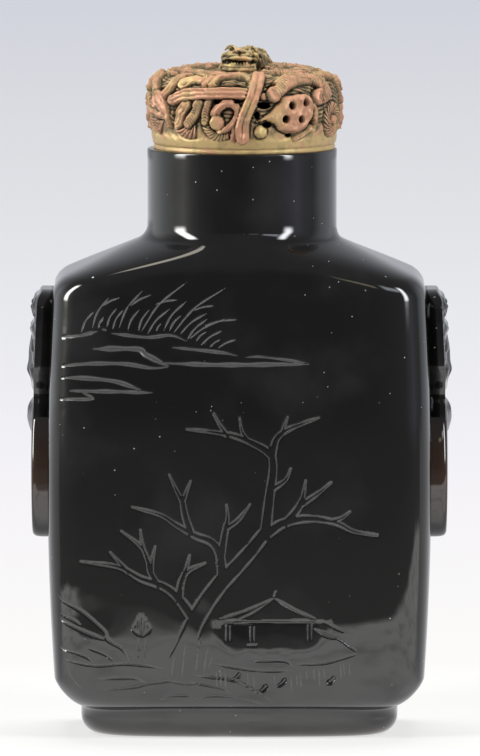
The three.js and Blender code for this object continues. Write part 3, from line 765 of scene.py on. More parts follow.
@dataclass
class Bottle:
    """The bottle with its foot, neck and cut faces, in millimetres."""

    scenes: tuple[Scenery, ...]
    finish: GlassFinish
    foot_half_width: float = 16.1
    foot_half_depth: float = 8.5
    foot_height: float = 3.15
    foot_rounding: float = 1.9
    foot_rim: float = 3.2
    foot_recess: float = 0.6
    foot_power: float = 4.0
    belly_top: float = 6.0
    belly_power: float = 1.4
    belly_top_depth: float = 13.0
    waist: float = 27.0
    body_half_width: float = 19.5
    body_half_depth: float = 12.1
    bulge_width: float = 0.0016
    bulge_depth: float = 0.0012
    shoulder_z: float = 44.7
    shoulder_radius: float = 2.6
    shoulder_turn: float = math.radians(65.5)
    slope_top: float = 47.45
    neck_fillet: float = 1.5
    neck_z: float = 51.6
    neck_radius: float = 9.65
    neck_shift: float = 0.27
    lip_z: float = 59.5
    lip_rounding: float = 0.2
    wall: float = 3.5
    bore_radius: float = 4.25
    cavity_floor: float = 6.0
    cavity_top: float = 45.0
    bore_z: float = 49.5
    corner_power: float = 7.0
    face_crown: float = 0.02
    columns: int = 148
    grain: tuple[float, ...] = (0.5, 0.25, 0.13)
    back_grain: float = 0.25
    cut_bottom: float = 3.2
    cut_top: float = 49.0
    cut_share: float = 0.985
    low_top: float = 16.0
    low_grain: float = 0.6
    low_reach: float = 1.2
    neck_heights: Pair = (48.0, 46.5)
    cavity_heights: tuple[float, ...] = (30.0, 14.0, 10.0, 8.0, 6.8, 6.2)

    def __post_init__(self) -> None:
        """Works out the sections and how the columns spread round the body."""
        self.sections, self.body_span = self._sections()
        self.spread = self._spread()

    def _spread(self) -> tuple[Array, Array, Array]:
        """A unit section of the body, from the seam at its back left corner all the way round.

        Returns:
            The share of the way round, x and y of each sample.
        """
        corner = 0.5 ** (1.0 / self.corner_power)
        rise = np.linspace(0.0, corner, 500)
        other = (1.0 - rise**self.corner_power) ** (1.0 / self.corner_power)
        x = np.concatenate([other, rise[-2::-1]])
        y = np.concatenate([rise, other[-2::-1]])
        across = np.concatenate([x[:-1], -x[:0:-1], -x[:-1], x[:0:-1]])
        deep = np.concatenate([y[:-1], y[:0:-1], -y[:-1], -y[:0:-1]])
        seam = len(x) - 1 + len(x) // 2
        across, deep = np.roll(across, -seam), np.roll(deep, -seam)
        across, deep = np.append(across, across[0]), np.append(deep, deep[0])
        steps = np.hypot(self.body_half_width * np.diff(across), self.body_half_depth * np.diff(deep))
        run = np.concatenate([[0.0], np.cumsum(steps)])
        return run / run[-1], across, deep

    def barrel_width(self, z: Array) -> Array:
        """Half-width of the barrel."""
        return self.body_half_width - self.bulge_width * (z - self.waist) ** 2

    def barrel_depth(self, z: Array) -> Array:
        """Half-depth of the barrel."""
        return self.body_half_depth - self.bulge_depth * (z - self.waist) ** 2

    def half_width(self, z: Array) -> Array:
        """Half-width of the outside at a height.

        Args:
            z: Heights.

        Returns:
            The half-widths.
        """
        rise = np.clip(1.0 - (z - self.foot_height) / (self.belly_top - self.foot_height), 0.0, 1.0)
        full = (1.0 - rise**self.belly_power) ** (1.0 / self.belly_power)
        step = self.barrel_width(self.foot_height) - self.foot_half_width
        belly = self.barrel_width(z) - step * (1.0 - full)
        corner = self.shoulder_radius * math.sin(self.shoulder_turn)
        centre = self.barrel_width(self.shoulder_z) - self.shoulder_radius
        up = np.clip(z - self.shoulder_z, 0.0, self.shoulder_radius)
        arc = centre + np.sqrt(self.shoulder_radius**2 - up * up)
        edge = centre + self.shoulder_radius * math.cos(self.shoulder_turn)
        slope = edge - (z - self.shoulder_z - corner) * math.tan(self.shoulder_turn)
        drop = np.clip(self.neck_z - z, 0.0, self.neck_fillet)
        fillet = self.neck_radius + self.neck_fillet - np.sqrt(self.neck_fillet**2 - drop * drop)
        roof = np.where(self.neck_z - z < self.neck_fillet * math.sin(self.shoulder_turn), fillet, slope)
        return np.select(
            [z <= self.belly_top, z <= self.shoulder_z, z <= self.shoulder_z + corner],
            [belly, self.barrel_width(z), arc],
            roof,
        )

    def half_depth(self, z: Array) -> Array:
        """Half-depth of the outside at a height.

        Args:
            z: Heights.

        Returns:
            The half-depths.
        """
        rise = np.clip(1.0 - (z - self.foot_height) / (self.belly_top_depth - self.foot_height), 0.0, 1.0)
        step = self.barrel_depth(self.foot_height) - self.foot_half_depth
        belly = self.barrel_depth(z) - step * (1.0 - np.sqrt(1.0 - rise**2.4))
        turn = np.clip((z - self.slope_top) / (self.neck_z - self.slope_top), 0.0, 1.0)
        roof = lerp(self.neck_radius, self.barrel_depth(self.slope_top), (1.0 - turn**1.6) ** 1.3)
        barrel = self.barrel_depth(z)
        return np.select([z <= self.belly_top_depth, z <= self.slope_top], [belly, barrel], roof)

    def power(self, z: Array) -> Array:
        """Power of the section's superellipse: square at the body, round at the neck."""
        return lerp(self.corner_power, 2.0, smoothstep(z, self.shoulder_z + 0.15, self.neck_z - 0.85))

    def _body_heights(self) -> Array:
        """Heights of the sections of the outside, closer where it turns.

        Returns:
            The heights, going up.
        """
        quarter = np.linspace(0.0, np.pi / 2, 13)
        belly = self.foot_height + (self.belly_top - self.foot_height) * (1.0 - np.cos(quarter))
        barrel = np.linspace(self.belly_top, self.shoulder_z, 50)[1:]
        bend = np.linspace(0.0, self.shoulder_turn, 11)[1:]
        corner = self.shoulder_z + self.shoulder_radius * np.sin(bend)
        tangent = self.neck_z - self.neck_fillet * math.sin(self.shoulder_turn)
        slope = np.linspace(corner[-1], tangent, 12)[1:]
        fillet = self.neck_z - self.neck_fillet * np.sin(np.linspace(self.shoulder_turn, 0.0, 8))[1:]
        neck = np.linspace(self.neck_z, self.lip_z - self.lip_rounding, 9)[1:]
        return np.concatenate([belly, barrel, corner, slope, fillet, neck])

    def _sections(self) -> tuple[Array, tuple[int, int]]:
        """The sections in order, from the underside over the lip to the cavity's floor.

        Returns:
            Rows of width, depth, height, power and crown, and the first and last row of the outside.
        """
        inset = self.foot_half_width - self.foot_half_depth
        rows = []

        def foot(width: float, z: float) -> None:
            """Adds a section of the foot."""
            rows.append((width, max(width - inset, 0.0), z, self.foot_power, 0.0))

        rim = self.foot_half_width - self.foot_rim
        foot(0.0, self.foot_recess)
        for share in (0.6, 1.0):
            foot(lerp(inset, rim - self.foot_recess, share), self.foot_recess)
        for turn in np.linspace(0.0, np.pi / 2, 4):
            foot(rim - self.foot_recess * math.cos(turn), self.foot_recess * (1.0 - math.sin(turn)))
        for turn in np.linspace(0.0, np.pi / 2, 8):
            shift = self.foot_rounding
            foot(self.foot_half_width - shift * (1.0 - math.sin(turn)), shift * (1.0 - math.cos(turn)))
        foot(self.foot_half_width, (self.foot_rounding + self.foot_height) / 2)
        first = len(rows)
        for z in self._body_heights():
            crown = self.face_crown * float(1.0 - smoothstep(z, self.shoulder_z, self.slope_top + 1.0))
            width, depth = float(self.half_width(z)), float(self.half_depth(z))
            rows.append((width, depth, z, float(self.power(z)), crown))
        last = len(rows) - 1
        for turn in np.linspace(0.0, np.pi / 2, 5)[1:]:
            radius = self.neck_radius - self.lip_rounding * (1.0 - math.cos(turn))
            rows.append((radius, radius, self.lip_z - self.lip_rounding * (1.0 - math.sin(turn)), 2.0, 0.0))
        for turn in np.linspace(0.0, np.pi / 2, 4):
            radius = self.bore_radius + self.lip_rounding * (1.0 - math.sin(turn))
            rows.append((radius, radius, self.lip_z - self.lip_rounding * (1.0 - math.cos(turn)), 2.0, 0.0))
        rows.append((self.bore_radius, self.bore_radius, self.bore_z, 2.0, 0.0))
        for z in (*self.neck_heights, self.cavity_top, *self.cavity_heights):
            under = float(smoothstep(self.bore_z - z, 0.0, self.bore_z - self.cavity_top))
            wide = under * math.sqrt(max(1.0 - max(1.0 - (z - self.cavity_floor) / 4.0, 0.0) ** 2, 0.0))
            # The bore draws in by about one part in a hundred where the cavity starts to open.
            width = lerp(self.bore_radius * under**0.01, self.barrel_width(z) - self.wall, wide)
            depth = lerp(self.bore_radius, self.barrel_depth(z) - self.wall, wide)
            rows.append((width, depth, z, 2.0 + 2.0 * wide, 0.0))
        rows.append((0.0, 0.0, self.cavity_floor, 2.0, 0.0))
        return np.array(rows), (first, last)

    def place(self, around: Array, along: Array) -> Array:
        """Places on the plain outside and inside, before anything is cut.

        Args:
            around: The share of the way round, 0 to 1.
            along: The share of the way through the sections, 0 to 1.

        Returns:
            Rows of x, y and z.
        """
        index = along * (len(self.sections) - 1)
        steps = np.arange(len(self.sections))
        width, depth, z, power, crown = (np.interp(index, steps, column) for column in self.sections.T)
        outside = (index >= self.body_span[0]) & (index <= self.body_span[1])
        width = np.where(outside, self.half_width(z), width)
        depth = np.where(outside, self.half_depth(z), depth)
        power = np.where(outside, self.power(z), power)
        run, unit_x, unit_y = self.spread
        across, deep = np.interp(around % 1.0, run, unit_x), np.interp(around % 1.0, run, unit_y)
        reach = (np.abs(across) ** power + np.abs(deep) ** power) ** (-1.0 / power)
        swell = 1.0 + crown * (1.0 - (across * reach) ** 2)
        shift = self.neck_shift * smoothstep(z, self.neck_z - 2.0, self.neck_z)
        return np.column_stack([width * across * reach + shift, depth * deep * reach * swell, z])

    def normals(self, around: Array, along: Array) -> Array:
        """Outward directions of the plain surface.

        Args:
            around: The share of the way round.
            along: The share of the way through the sections.

        Returns:
            Rows of unit length.
        """
        step = 2e-4
        over = self.place(around + step, along) - self.place(around - step, along)
        up = self.place(around, along + step) - self.place(around, along - step)
        out = np.cross(over, up)
        return out / np.maximum(np.linalg.norm(out, axis=1, keepdims=True), 1e-9)

    def wanted(self, spots: Array, size: Array, grain: float) -> Array:
        """Which faces are split: those that are large beside a cut line.

        Args:
            spots: The middles of the faces.
            size: The mean lengths of their edges.
            grain: The size that is fine enough.

        Returns:
            A truth value for each face.
        """
        x, y, z = spots.T
        wide = self.half_width(np.clip(z, self.foot_height, self.lip_z))
        result = np.zeros(len(spots), bool)
        for scene in self.scenes:
            enough = max(grain, self.back_grain) if scene.side is Side.BACK else grain
            face = (size > enough) & (np.sign(y) == scene.side.value) & (np.abs(x) < self.cut_share * wide)
            face &= (z > self.cut_bottom) & (z < self.cut_top) & (np.abs(y) > 0.5 * self.half_depth(z))
            ids = np.flatnonzero(face)
            if len(ids):
                gap, number = scene.nearest(x[ids], z[ids])
                result[ids] |= gap < scene.rows[number, 2] * 1.15 + 0.8 * size[ids]
                low = (size[ids] > self.low_grain) & (z[ids] < self.low_top)
                result[ids] |= low & (gap < self.low_reach)
        return result

    def build(self) -> Piece:
        """Makes the mesh: a grid wrapped round, split where it is carved, and then carved.

        Returns:
            The piece.
        """
        bm = bmesh.new()
        bmesh.ops.create_grid(bm, x_segments=self.columns, y_segments=len(self.sections) - 1, size=1.0)
        around = bm.verts.layers.float.new("around")
        along = bm.verts.layers.float.new("along")
        for vert in bm.verts:
            vert[around] = (vert.co.x + 1.0) / 2.0
            vert[along] = (vert.co.y + 1.0) / 2.0
        for grain in self.grain:
            self._split(bm, around, along, grain)
        self._carve(bm, around, along)
        bmesh.ops.remove_doubles(bm, verts=bm.verts, dist=1e-4)
        bmesh.ops.recalc_face_normals(bm, faces=bm.faces)
        bm.verts.layers.float.remove(bm.verts.layers.float["around"])
        bm.verts.layers.float.remove(bm.verts.layers.float["along"])
        return finish_mesh("bottle_glass", bm)

    def _read(self, bm: BMesh, around: object, along: object) -> tuple[Array, Array]:
        """The way round and the way along of every vertex."""
        pairs = np.array([(vert[around], vert[along]) for vert in bm.verts])
        return pairs[:, 0], pairs[:, 1]

    def _split(self, bm: BMesh, around: object, along: object, grain: float) -> None:
        """Splits the faces that are too large for what is cut there.

        Args:
            bm: The mesh.
            around: The way-round layer.
            along: The way-along layer.
            grain: The size that is fine enough.
        """
        spots = self.place(*self._read(bm, around, along))
        for vert, spot in zip(bm.verts, spots):
            vert.co = spot
        faces = list(bm.faces)
        middles = np.array([face.calc_center_median() for face in faces])
        size = np.array([face.calc_perimeter() / len(face.verts) for face in faces])
        chosen = np.flatnonzero(self.wanted(middles, size, grain))
        edges = list(dict.fromkeys(edge for i in chosen for edge in faces[i].edges))
        bmesh.ops.subdivide_edges(bm, edges=edges, cuts=1, use_grid_fill=True)
        bmesh.ops.triangulate(bm, faces=[face for face in bm.faces if len(face.verts) > 4])

    def _carve(self, bm: BMesh, around: object, along: object) -> None:
        """Moves every vertex to its place, with the cuts, and stores what the finish reads.

        Args:
            bm: The mesh.
            around: The way-round layer.
            along: The way-along layer.
        """
        turn, run = self._read(bm, around, along)
        spots = self.place(turn, run)
        out = self.normals(turn, run)
        index = run * (len(self.sections) - 1)
        outside = (index >= self.body_span[0]) & (index <= self.body_span[1])
        x, y, z = spots.T
        near = np.full(len(spots), FAR)
        matte = np.zeros(len(spots))
        depth = np.zeros(len(spots))
        wide = self.half_width(np.clip(z, self.foot_height, self.lip_z))
        for scene in self.scenes:
            face = outside & (np.sign(y) == scene.side.value) & (np.abs(x) < self.cut_share * wide)
            face &= (z < self.cut_top) & (np.abs(y) > 0.5 * self.half_depth(z))
            ids = np.flatnonzero(face)
            depth[ids], near[ids], matte[ids] = scene.carve(x[ids], z[ids])
        spots -= out * depth[:, None]
        # Painted glow: the thin glass at the underside is marked for brown, for light shining through it.
        thin = 0.5 * (1.0 - smoothstep(z, 0.2, 1.6)) * (index <= self.body_span[1])
        stored = {"cut": near, "frost": matte, "thin": thin}
        for name in stored:
            bm.verts.layers.float.new(name)
        layers = {name: bm.verts.layers.float[name] for name in stored}
        for i, vert in enumerate(bm.verts):
            vert.co = spots[i]
            for name, numbers in stored.items():
                vert[layers[name]] = numbers[i]

    def dress(self, piece: Piece, material: Material) -> None:
        """Gives a piece the glass's finish and ties it to the model.

        Args:
            piece: The piece.
            material: The glass.
        """
        piece.data.materials.append(material)
        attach(piece, "root")
        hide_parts("bottle")


@dataclass
class Handle:
    """The mask and mock ring on one narrow side, in millimetres: lift is the height over the side."""

    side: float
    bottle: Bottle
    outline: Points = (
        (29.7, 1.3), (30.0, 2.2), (30.7, 2.9), (32.0, 3.25), (33.4, 3.2), (34.4, 2.95), (35.1, 3.2),
        (36.2, 4.1), (37.3, 4.9), (38.6, 5.1), (41.0, 5.15), (43.2, 5.1), (44.4, 4.6), (45.0, 3.7),
        (45.25, 2.4),
    )
    mask_lift: float = 1.5
    ring_bottom: float = 19.8
    ring_top: float = 34.2
    ring_half_width: float = 4.8
    ring_band: float = 0.95
    ring_lift: float = 1.65
    sink: float = 0.5
    bevel: float = 0.14
    columns: int = 64
    rows: int = 116
    ring_steps: int = 150
    ring_sides: int = 32
    swell: float = 0.2
    edge_fade: float = 0.5
    top_drop: float = 0.45
    bottom_drop: float = 0.4
    # The brown on the ring is a painted glow of light shining through the glass.
    ring_painted_glow: float = 0.75
    ring_painted_glow_z: float = 26.5
    ring_painted_glow_reach: float = 4.0

    def carving(self, y: Array, z: Array) -> Array:
        """Height of the mask's modelling: horns, brows, eyes, nose, cheeks and jaw.

        Args:
            y: Places across.
            z: Heights.

        Returns:
            The lift at each place.
        """
        side = np.abs(y)
        horn = 0.4 * hill(side, z, (3.2, 43.6), (1.3, 0.9))
        brow = 0.45 * hill(side, z, (2.4, 41.3), (1.9, 0.6))
        eye = 0.4 * hill(side, z, (2.5, 39.5), (0.9, 0.8))
        cheek = 0.4 * hill(side, z, (3.6, 37.2), (1.2, 0.9))
        nose = 0.45 * hill(side, z, (0.0, 38.6), (0.8, 2.4)) + 0.3 * hill(side, z, (0.0, 36.9), (1.5, 0.7))
        throat = 0.5 * hill(side, z, (0.0, 34.4), (4.0, 0.4))
        jaw = 0.45 * hill(side, z, (0.0, 32.2), (2.2, 1.3))
        return horn + brow + eye + cheek + nose + jaw - throat + self.lines(side, z)

    def lines(self, side: Array, z: Array) -> Array:
        """Fine carved lines: curled horns, eyelids, nostrils, teeth and mane.

        Args:
            side: Distances from the middle.
            z: Heights.

        Returns:
            The lift at each place.
        """
        curl = np.hypot(side - 3.2, z - 43.4)
        swirl = 0.12 * np.cos(7.0 * curl - np.arctan2(z - 43.4, side - 3.2)) * np.exp(-((curl / 1.2) ** 4))
        lid = np.hypot((side - 2.5) / 1.15, (z - 39.5) / 0.85)
        eyelid = -0.22 * np.exp(-(((lid - 1.0) / 0.14) ** 2))
        pupil = -0.18 * hill(side, z, (2.4, 39.5), (0.22, 0.22))
        nostril = -0.25 * hill(side, z, (0.75, 36.7), (0.3, 0.22))
        teeth = 0.1 * np.cos(2.0 * np.pi * side / 0.9) * hill(side, z, (0.0, 33.2), (2.6, 0.45))
        mane = 0.08 * np.cos(5.0 * z + 2.0 * side) * smoothstep(side, 3.2, 4.0) * smoothstep(z, 36.5, 37.5)
        return swirl + eyelid + pupil + nostril + teeth + mane

    def _set(self, verts: list, lift: Array, y: Array, z: Array) -> None:
        """Moves vertices to a height over the side.

        Args:
            verts: The vertices.
            lift: Their heights over the side.
            y: Their places across.
            z: Their heights.
        """
        x = self.side * (self.bottle.half_width(z) + lift)
        for vert, spot in zip(verts, np.column_stack([x, y, z])):
            vert.co = spot

    def mask(self) -> Piece:
        """Makes the mask: a carved grid in its outline, with walls that run into the bottle.

        Returns:
            The piece.
        """
        heights, halves = spline(self.outline, 0.05).T
        bm = bmesh.new()
        bmesh.ops.create_grid(bm, x_segments=self.columns, y_segments=self.rows, size=1.0)
        verts = list(bm.verts)
        across, up = np.array([vert.co[:2] for vert in verts]).T
        z = lerp(heights[0], heights[-1], (up + 1.0) / 2.0)
        half = np.interp(z, heights, halves)
        y = across * half
        ends = self.top_drop * smoothstep(z, 44.2, 45.3)
        ends += self.bottom_drop * (1.0 - smoothstep(z, 29.7, 31.0))
        swell = self.swell * (1.0 - across * across)
        fade = smoothstep(half - np.abs(y), 0.0, self.edge_fade)
        self._set(verts, self.mask_lift + self.carving(y, z) * fade + swell - ends, y, z)
        rim = [edge for edge in bm.edges if edge.is_boundary]
        made = bmesh.ops.extrude_edge_only(bm, edges=rim)
        low = [item for item in made["geom"] if isinstance(item, bmesh.types.BMVert)]
        y, z = np.array([vert.co[1:] for vert in low]).T
        self._set(low, np.full(len(low), -self.sink), y, z)
        bmesh.ops.holes_fill(bm, edges=[edge for edge in bm.edges if edge.is_boundary])
        bmesh.ops.bevel(
            bm, geom=rim, offset=self.bevel, offset_type="OFFSET", segments=3, profile=0.5, affect="EDGES",
            material=-1, clamp_overlap=True,
        )
        bmesh.ops.recalc_face_normals(bm, faces=bm.faces)
        return finish_mesh("handle_mask_" + ("left" if self.side < 0.0 else "right"), bm)

    def ring(self) -> Piece:
        """Makes the ring: a flat-sided band round an oval, half sunk in the bottle.

        Returns:
            The piece.
        """
        bm = bmesh.new()
        bmesh.ops.create_grid(bm, x_segments=self.ring_steps, y_segments=self.ring_sides, size=1.0)
        thin = bm.verts.layers.float.new("thin")
        verts = list(bm.verts)
        turn, roll = np.pi * np.array([vert.co[:2] for vert in verts]).T
        wide = self.ring_half_width - self.ring_band
        high = (self.ring_top - self.ring_bottom) / 2.0 - self.ring_band
        out = np.array([np.sin(turn) / wide, np.cos(turn) / high])
        out /= np.linalg.norm(out, axis=0)
        over = self.ring_band * np.sign(np.cos(roll)) * np.sqrt(np.abs(np.cos(roll)))
        lift = self.ring_lift * np.sign(np.sin(roll)) * np.sqrt(np.abs(np.sin(roll)))
        y = wide * np.sin(turn) + over * out[0]
        z = (self.ring_top + self.ring_bottom) / 2.0 + high * np.cos(turn) + over * out[1]
        self._set(verts, lift, y, z)
        # Painted glow: brown at the ring's middle height, for light shining through the glass.
        for vert, height in zip(verts, z):
            away = (height - self.ring_painted_glow_z) / self.ring_painted_glow_reach
            vert[thin] = self.ring_painted_glow * math.exp(-(away**2))
        bmesh.ops.remove_doubles(bm, verts=bm.verts, dist=1e-4)
        bmesh.ops.recalc_face_normals(bm, faces=bm.faces)
        return finish_mesh("handle_ring_" + ("left" if self.side < 0.0 else "right"), bm)


def bezier(points: Points, count: int = 40) -> Array:
    """Samples a Bezier curve of three or four points.

    Args:
        points: Its points.
        count: How many samples.

    Returns:
        One row for each sample.
    """
    share = np.linspace(0.0, 1.0, count)[:, None]
    level = [np.array(point, float) for point in points]
    while len(level) > 1:
        level = [a + (b - a) * share for a, b in zip(level, level[1:])]
    return level[0]


@dataclass
class CapForm:
    """The plain cap: a rim, a bulging wall and a low dome over a thin shell, in millimetres."""

    shift: float = 0.5
    lip_z: float = 59.5
    rim_radius: float = 9.15
    radius: float = 9.6
    wall: float = 1.0
    dome: float = 8.3
    wall_top: float = 8.7

    def __post_init__(self) -> None:
        """Works out the outline from the rim to the middle of the dome, and the inside."""
        side = bezier(((self.rim_radius, 0.0), (self.radius + 0.05, 2.0), (self.radius, 4.6)))
        bend = bezier(((self.radius, 4.6), (self.radius, 6.6), (9.05, 7.4), (7.6, 7.7)))
        roof = bezier(((7.6, 7.7), (4.0, 8.25), (0.0, self.dome)))
        self.line = np.vstack([side, bend[1:], roof[1:]])
        steps = np.hypot(*np.diff(self.line, axis=0).T)
        self.run = np.concatenate([[0.0], np.cumsum(steps)])
        self.length = float(self.run[-1])
        self.degree = math.radians(1.0) * self.radius
        self.hollow = np.array([
            (self.rim_radius - self.wall, 0.0), (self.radius - self.wall, 3.8), (8.2, 6.0), (6.4, 6.8),
            (0.0, self.dome - self.wall),
        ])
        self.hollow_run = np.array([0.0, 3.8, 6.6, 8.6, self.length])

    def turned(self, degrees: Array, radius: Array, z: Array) -> Array:
        """Places at a radius and a height, turned from the front."""
        turn = np.radians(degrees)
        return np.column_stack([self.shift + radius * np.sin(turn), -radius * np.cos(turn), self.lip_z + z])

    def place(self, degrees: Array, run: Array, lift: Array) -> Array:
        """Places on the outside.

        Args:
            degrees: How far round from the front.
            run: Millimetres up from the rim along the outline.
            lift: Height over the plain surface.

        Returns:
            Rows of x, y and z.
        """
        radius, z = (np.interp(run, self.run, column) for column in self.line.T)
        step = 0.05
        ahead = [
            np.interp(run + step, self.run, column) - np.interp(run - step, self.run, column)
            for column in self.line.T
        ]
        length = np.hypot(*ahead)
        return self.turned(degrees, radius + ahead[1] / length * lift, z - ahead[0] / length * lift)

    def inside(self, degrees: Array, run: Array) -> Array:
        """Places on the plain inside."""
        radius, z = (np.interp(run, self.hollow_run, column) for column in self.hollow.T)
        return self.turned(degrees, radius, z)

    def flat(self, degrees: Array, run: Array, centre: Pair) -> tuple:
        """Millimetres round and up from a centre, as if the wall were unrolled."""
        round_about = (degrees - centre[0] + 180.0) % 360.0 - 180.0
        return round_about * self.degree, run - centre[1]


NOTHING = -9.0
MOAT_REACH = 0.45
STRAP_STEP = 0.1
STRAP_POWER = 7
LINE_HEIGHT = 0.05
GROOVE_DEPTH = 0.4
GROOVE_WIDTH = 0.17


@dataclass(frozen=True)
class Mark:
    """What one piece of the relief does at each place on the cap."""

    gap: Array
    """Millimetres inside the piece's edge, and less than nothing outside."""
    rise: Array
    """Height of the piece."""
    comb: Array
    """Number of fine lines passed."""


def uneven(spots: Array, amount: float) -> Array:
    """Small unevenness of a hand-finished casting.

    Args:
        spots: Places in millimetres.
        amount: Its size.

    Returns:
        A height for each place.
    """
    draw = np.random.default_rng(11)
    total = np.zeros(len(spots))
    for _ in range(30):
        way = draw.normal(size=3)
        pitch = draw.uniform(0.35, 1.3)
        way *= 2.0 * np.pi / pitch / np.linalg.norm(way)
        total += pitch * np.sin(spots @ way + draw.uniform(0.0, 2.0 * np.pi))
    return amount * total


@dataclass(frozen=True)
class Strap:
    """A raised band on the cap, along places given as degrees round and millimetres up."""

    places: Points
    half: float
    lift: float
    taper: float = 0.0
    groove: float = 0.5
    lines: float = 0.0
    gilt: float = 0.0

    def mark(self, cap: CapForm, degrees: Array, run: Array, spots: Array) -> Mark:
        """The band at each place.

        Args:
            cap: The plain cap.
            degrees: Degrees round of each place; not used.
            run: Millimetres up of each place; not used.
            spots: The places on the plain cap.

        Returns:
            Its edge, height and fine lines.
        """
        line = spline(tuple((d * cap.degree, r) for d, r in self.places), STRAP_STEP)
        centre = cap.place(line[:, 0] / cap.degree, line[:, 1], np.zeros(len(line)))
        gap, rise, comb = np.full(len(spots), NOTHING), np.zeros(len(spots)), np.zeros(len(spots))
        margin = self.half + MOAT_REACH
        low, high = centre.min(axis=0) - margin, centre.max(axis=0) + margin
        ids = np.flatnonzero(np.all((spots > low) & (spots < high), axis=1))
        away = np.linalg.norm(spots[ids, None, :] - centre[None], axis=2)
        near = away.argmin(axis=1)
        away = away[np.arange(len(ids)), near]
        half = self.half * (1.0 - self.taper * near / (len(line) - 1))
        share = away / half
        height = self.lift * np.sqrt(np.clip(1.0 - share**STRAP_POWER, 0.0, 1.0))
        phase = STRAP_STEP * near * self.lines + 0.8 * share
        if self.lines:
            height -= LINE_HEIGHT * np.sin(2.0 * np.pi * phase)
        else:
            groove = np.exp(-(((share - self.groove) / GROOVE_WIDTH) ** 2))
            height -= GROOVE_DEPTH * self.lift * groove
        gap[ids], rise[ids], comb[ids] = half - away, height, phase
        return Mark(gap, rise, comb)


@dataclass(frozen=True)
class Boss:
    """A round knob on the cap."""

    centre: Pair
    radius: float
    lift: float
    gilt: float = 0.0
    lines: float = 0.0

    def mark(self, cap: CapForm, degrees: Array, run: Array, spots: Array) -> Mark:
        """The knob at each place.

        Args:
            cap: The plain cap.
            degrees: Degrees round.
            run: Millimetres up.
            spots: Places on the plain cap; not used.

        Returns:
            Its edge and height.
        """
        away = np.hypot(*cap.flat(degrees, run, self.centre))
        dome = np.sqrt(np.clip(1.0 - (away / self.radius) ** 2.4, 0.0, 1.0))
        return Mark(self.radius - away, self.lift * dome, np.zeros(len(run)))


@dataclass(frozen=True)
class Fan:
    """Curved ridges that spread from a centre like combed hair."""

    centre: Pair
    reach: Pair
    angles: Pair
    lines: float
    lift: float = 0.16
    swirl: float = 0.4
    gilt: float = 0.0

    def mark(self, cap: CapForm, degrees: Array, run: Array, spots: Array) -> Mark:
        """The ridges at each place.

        Args:
            cap: The plain cap.
            degrees: Degrees round.
            run: Millimetres up.
            spots: Places on the plain cap; not used.

        Returns:
            Their edge, height and number.
        """
        over, up = cap.flat(degrees, run, self.centre)
        reach = np.hypot(over, up)
        start, end = self.angles
        angle = np.degrees(np.arctan2(up, over)) + 60.0 * self.swirl * (reach - self.reach[0])
        turn = (angle - start) % 360.0
        ends = np.radians(np.where(turn < end - start, np.minimum(turn, end - start - turn), -30.0)) * reach
        if end - start >= 360.0:
            ends = np.full(len(reach), 1.0)
        gap = np.minimum(np.minimum(reach - self.reach[0], self.reach[1] - reach), ends)
        phase = self.lines * turn / (end - start)
        rise = self.lift * smoothstep(gap, -0.05, 0.3) + 0.08 * np.sin(2.0 * np.pi * phase)
        return Mark(gap, rise, phase)


@dataclass(frozen=True)
class Leaf:
    """A flat leaf with a rounded edge."""

    outline: Points
    lift: float
    gilt: float = 0.0
    lines: float = 0.0

    def mark(self, cap: CapForm, degrees: Array, run: Array, spots: Array) -> Mark:
        """The leaf at each place.

        Args:
            cap: The plain cap.
            degrees: Degrees round.
            run: Millimetres up.
            spots: Places on the plain cap; not used.

        Returns:
            Its edge and height.
        """
        middle = tuple(np.mean(self.outline, axis=0))
        over, up = cap.flat(degrees, run, middle)
        loop = spline((*self.outline, self.outline[0]), 0.8)[:-1]
        corners = np.column_stack(cap.flat(loop[:, 0], loop[:, 1], middle))
        flat = np.column_stack([over, up])
        nearest = np.full(len(flat), 99.0)
        inside = np.zeros(len(flat), bool)
        for a, b in zip(corners, np.roll(corners, -1, axis=0)):
            side = b - a
            share = np.clip(((flat - a) @ side) / (side @ side), 0.0, 1.0)
            nearest = np.minimum(nearest, np.linalg.norm(flat - a - share[:, None] * side, axis=1))
            if a[1] != b[1]:
                crossing = a[0] + (up - a[1]) / (b[1] - a[1]) * side[0]
                inside ^= ((a[1] > up) != (b[1] > up)) & (over < crossing)
        gap = np.where(inside, nearest, -nearest)
        return Mark(gap, self.lift * (0.5 + 0.5 * smoothstep(gap, 0.0, 0.4)), np.zeros(len(run)))


@dataclass(frozen=True)
class Hole:
    """An oval hole through the cap."""

    centre: Pair
    radii: Pair

    def share(self, cap: CapForm, degrees: Array, run: Array) -> Array:
        """Distance from the hole's centre, with 1 on its edge."""
        over, up = cap.flat(degrees, run, self.centre)
        return np.hypot(over / self.radii[0], up / self.radii[1])


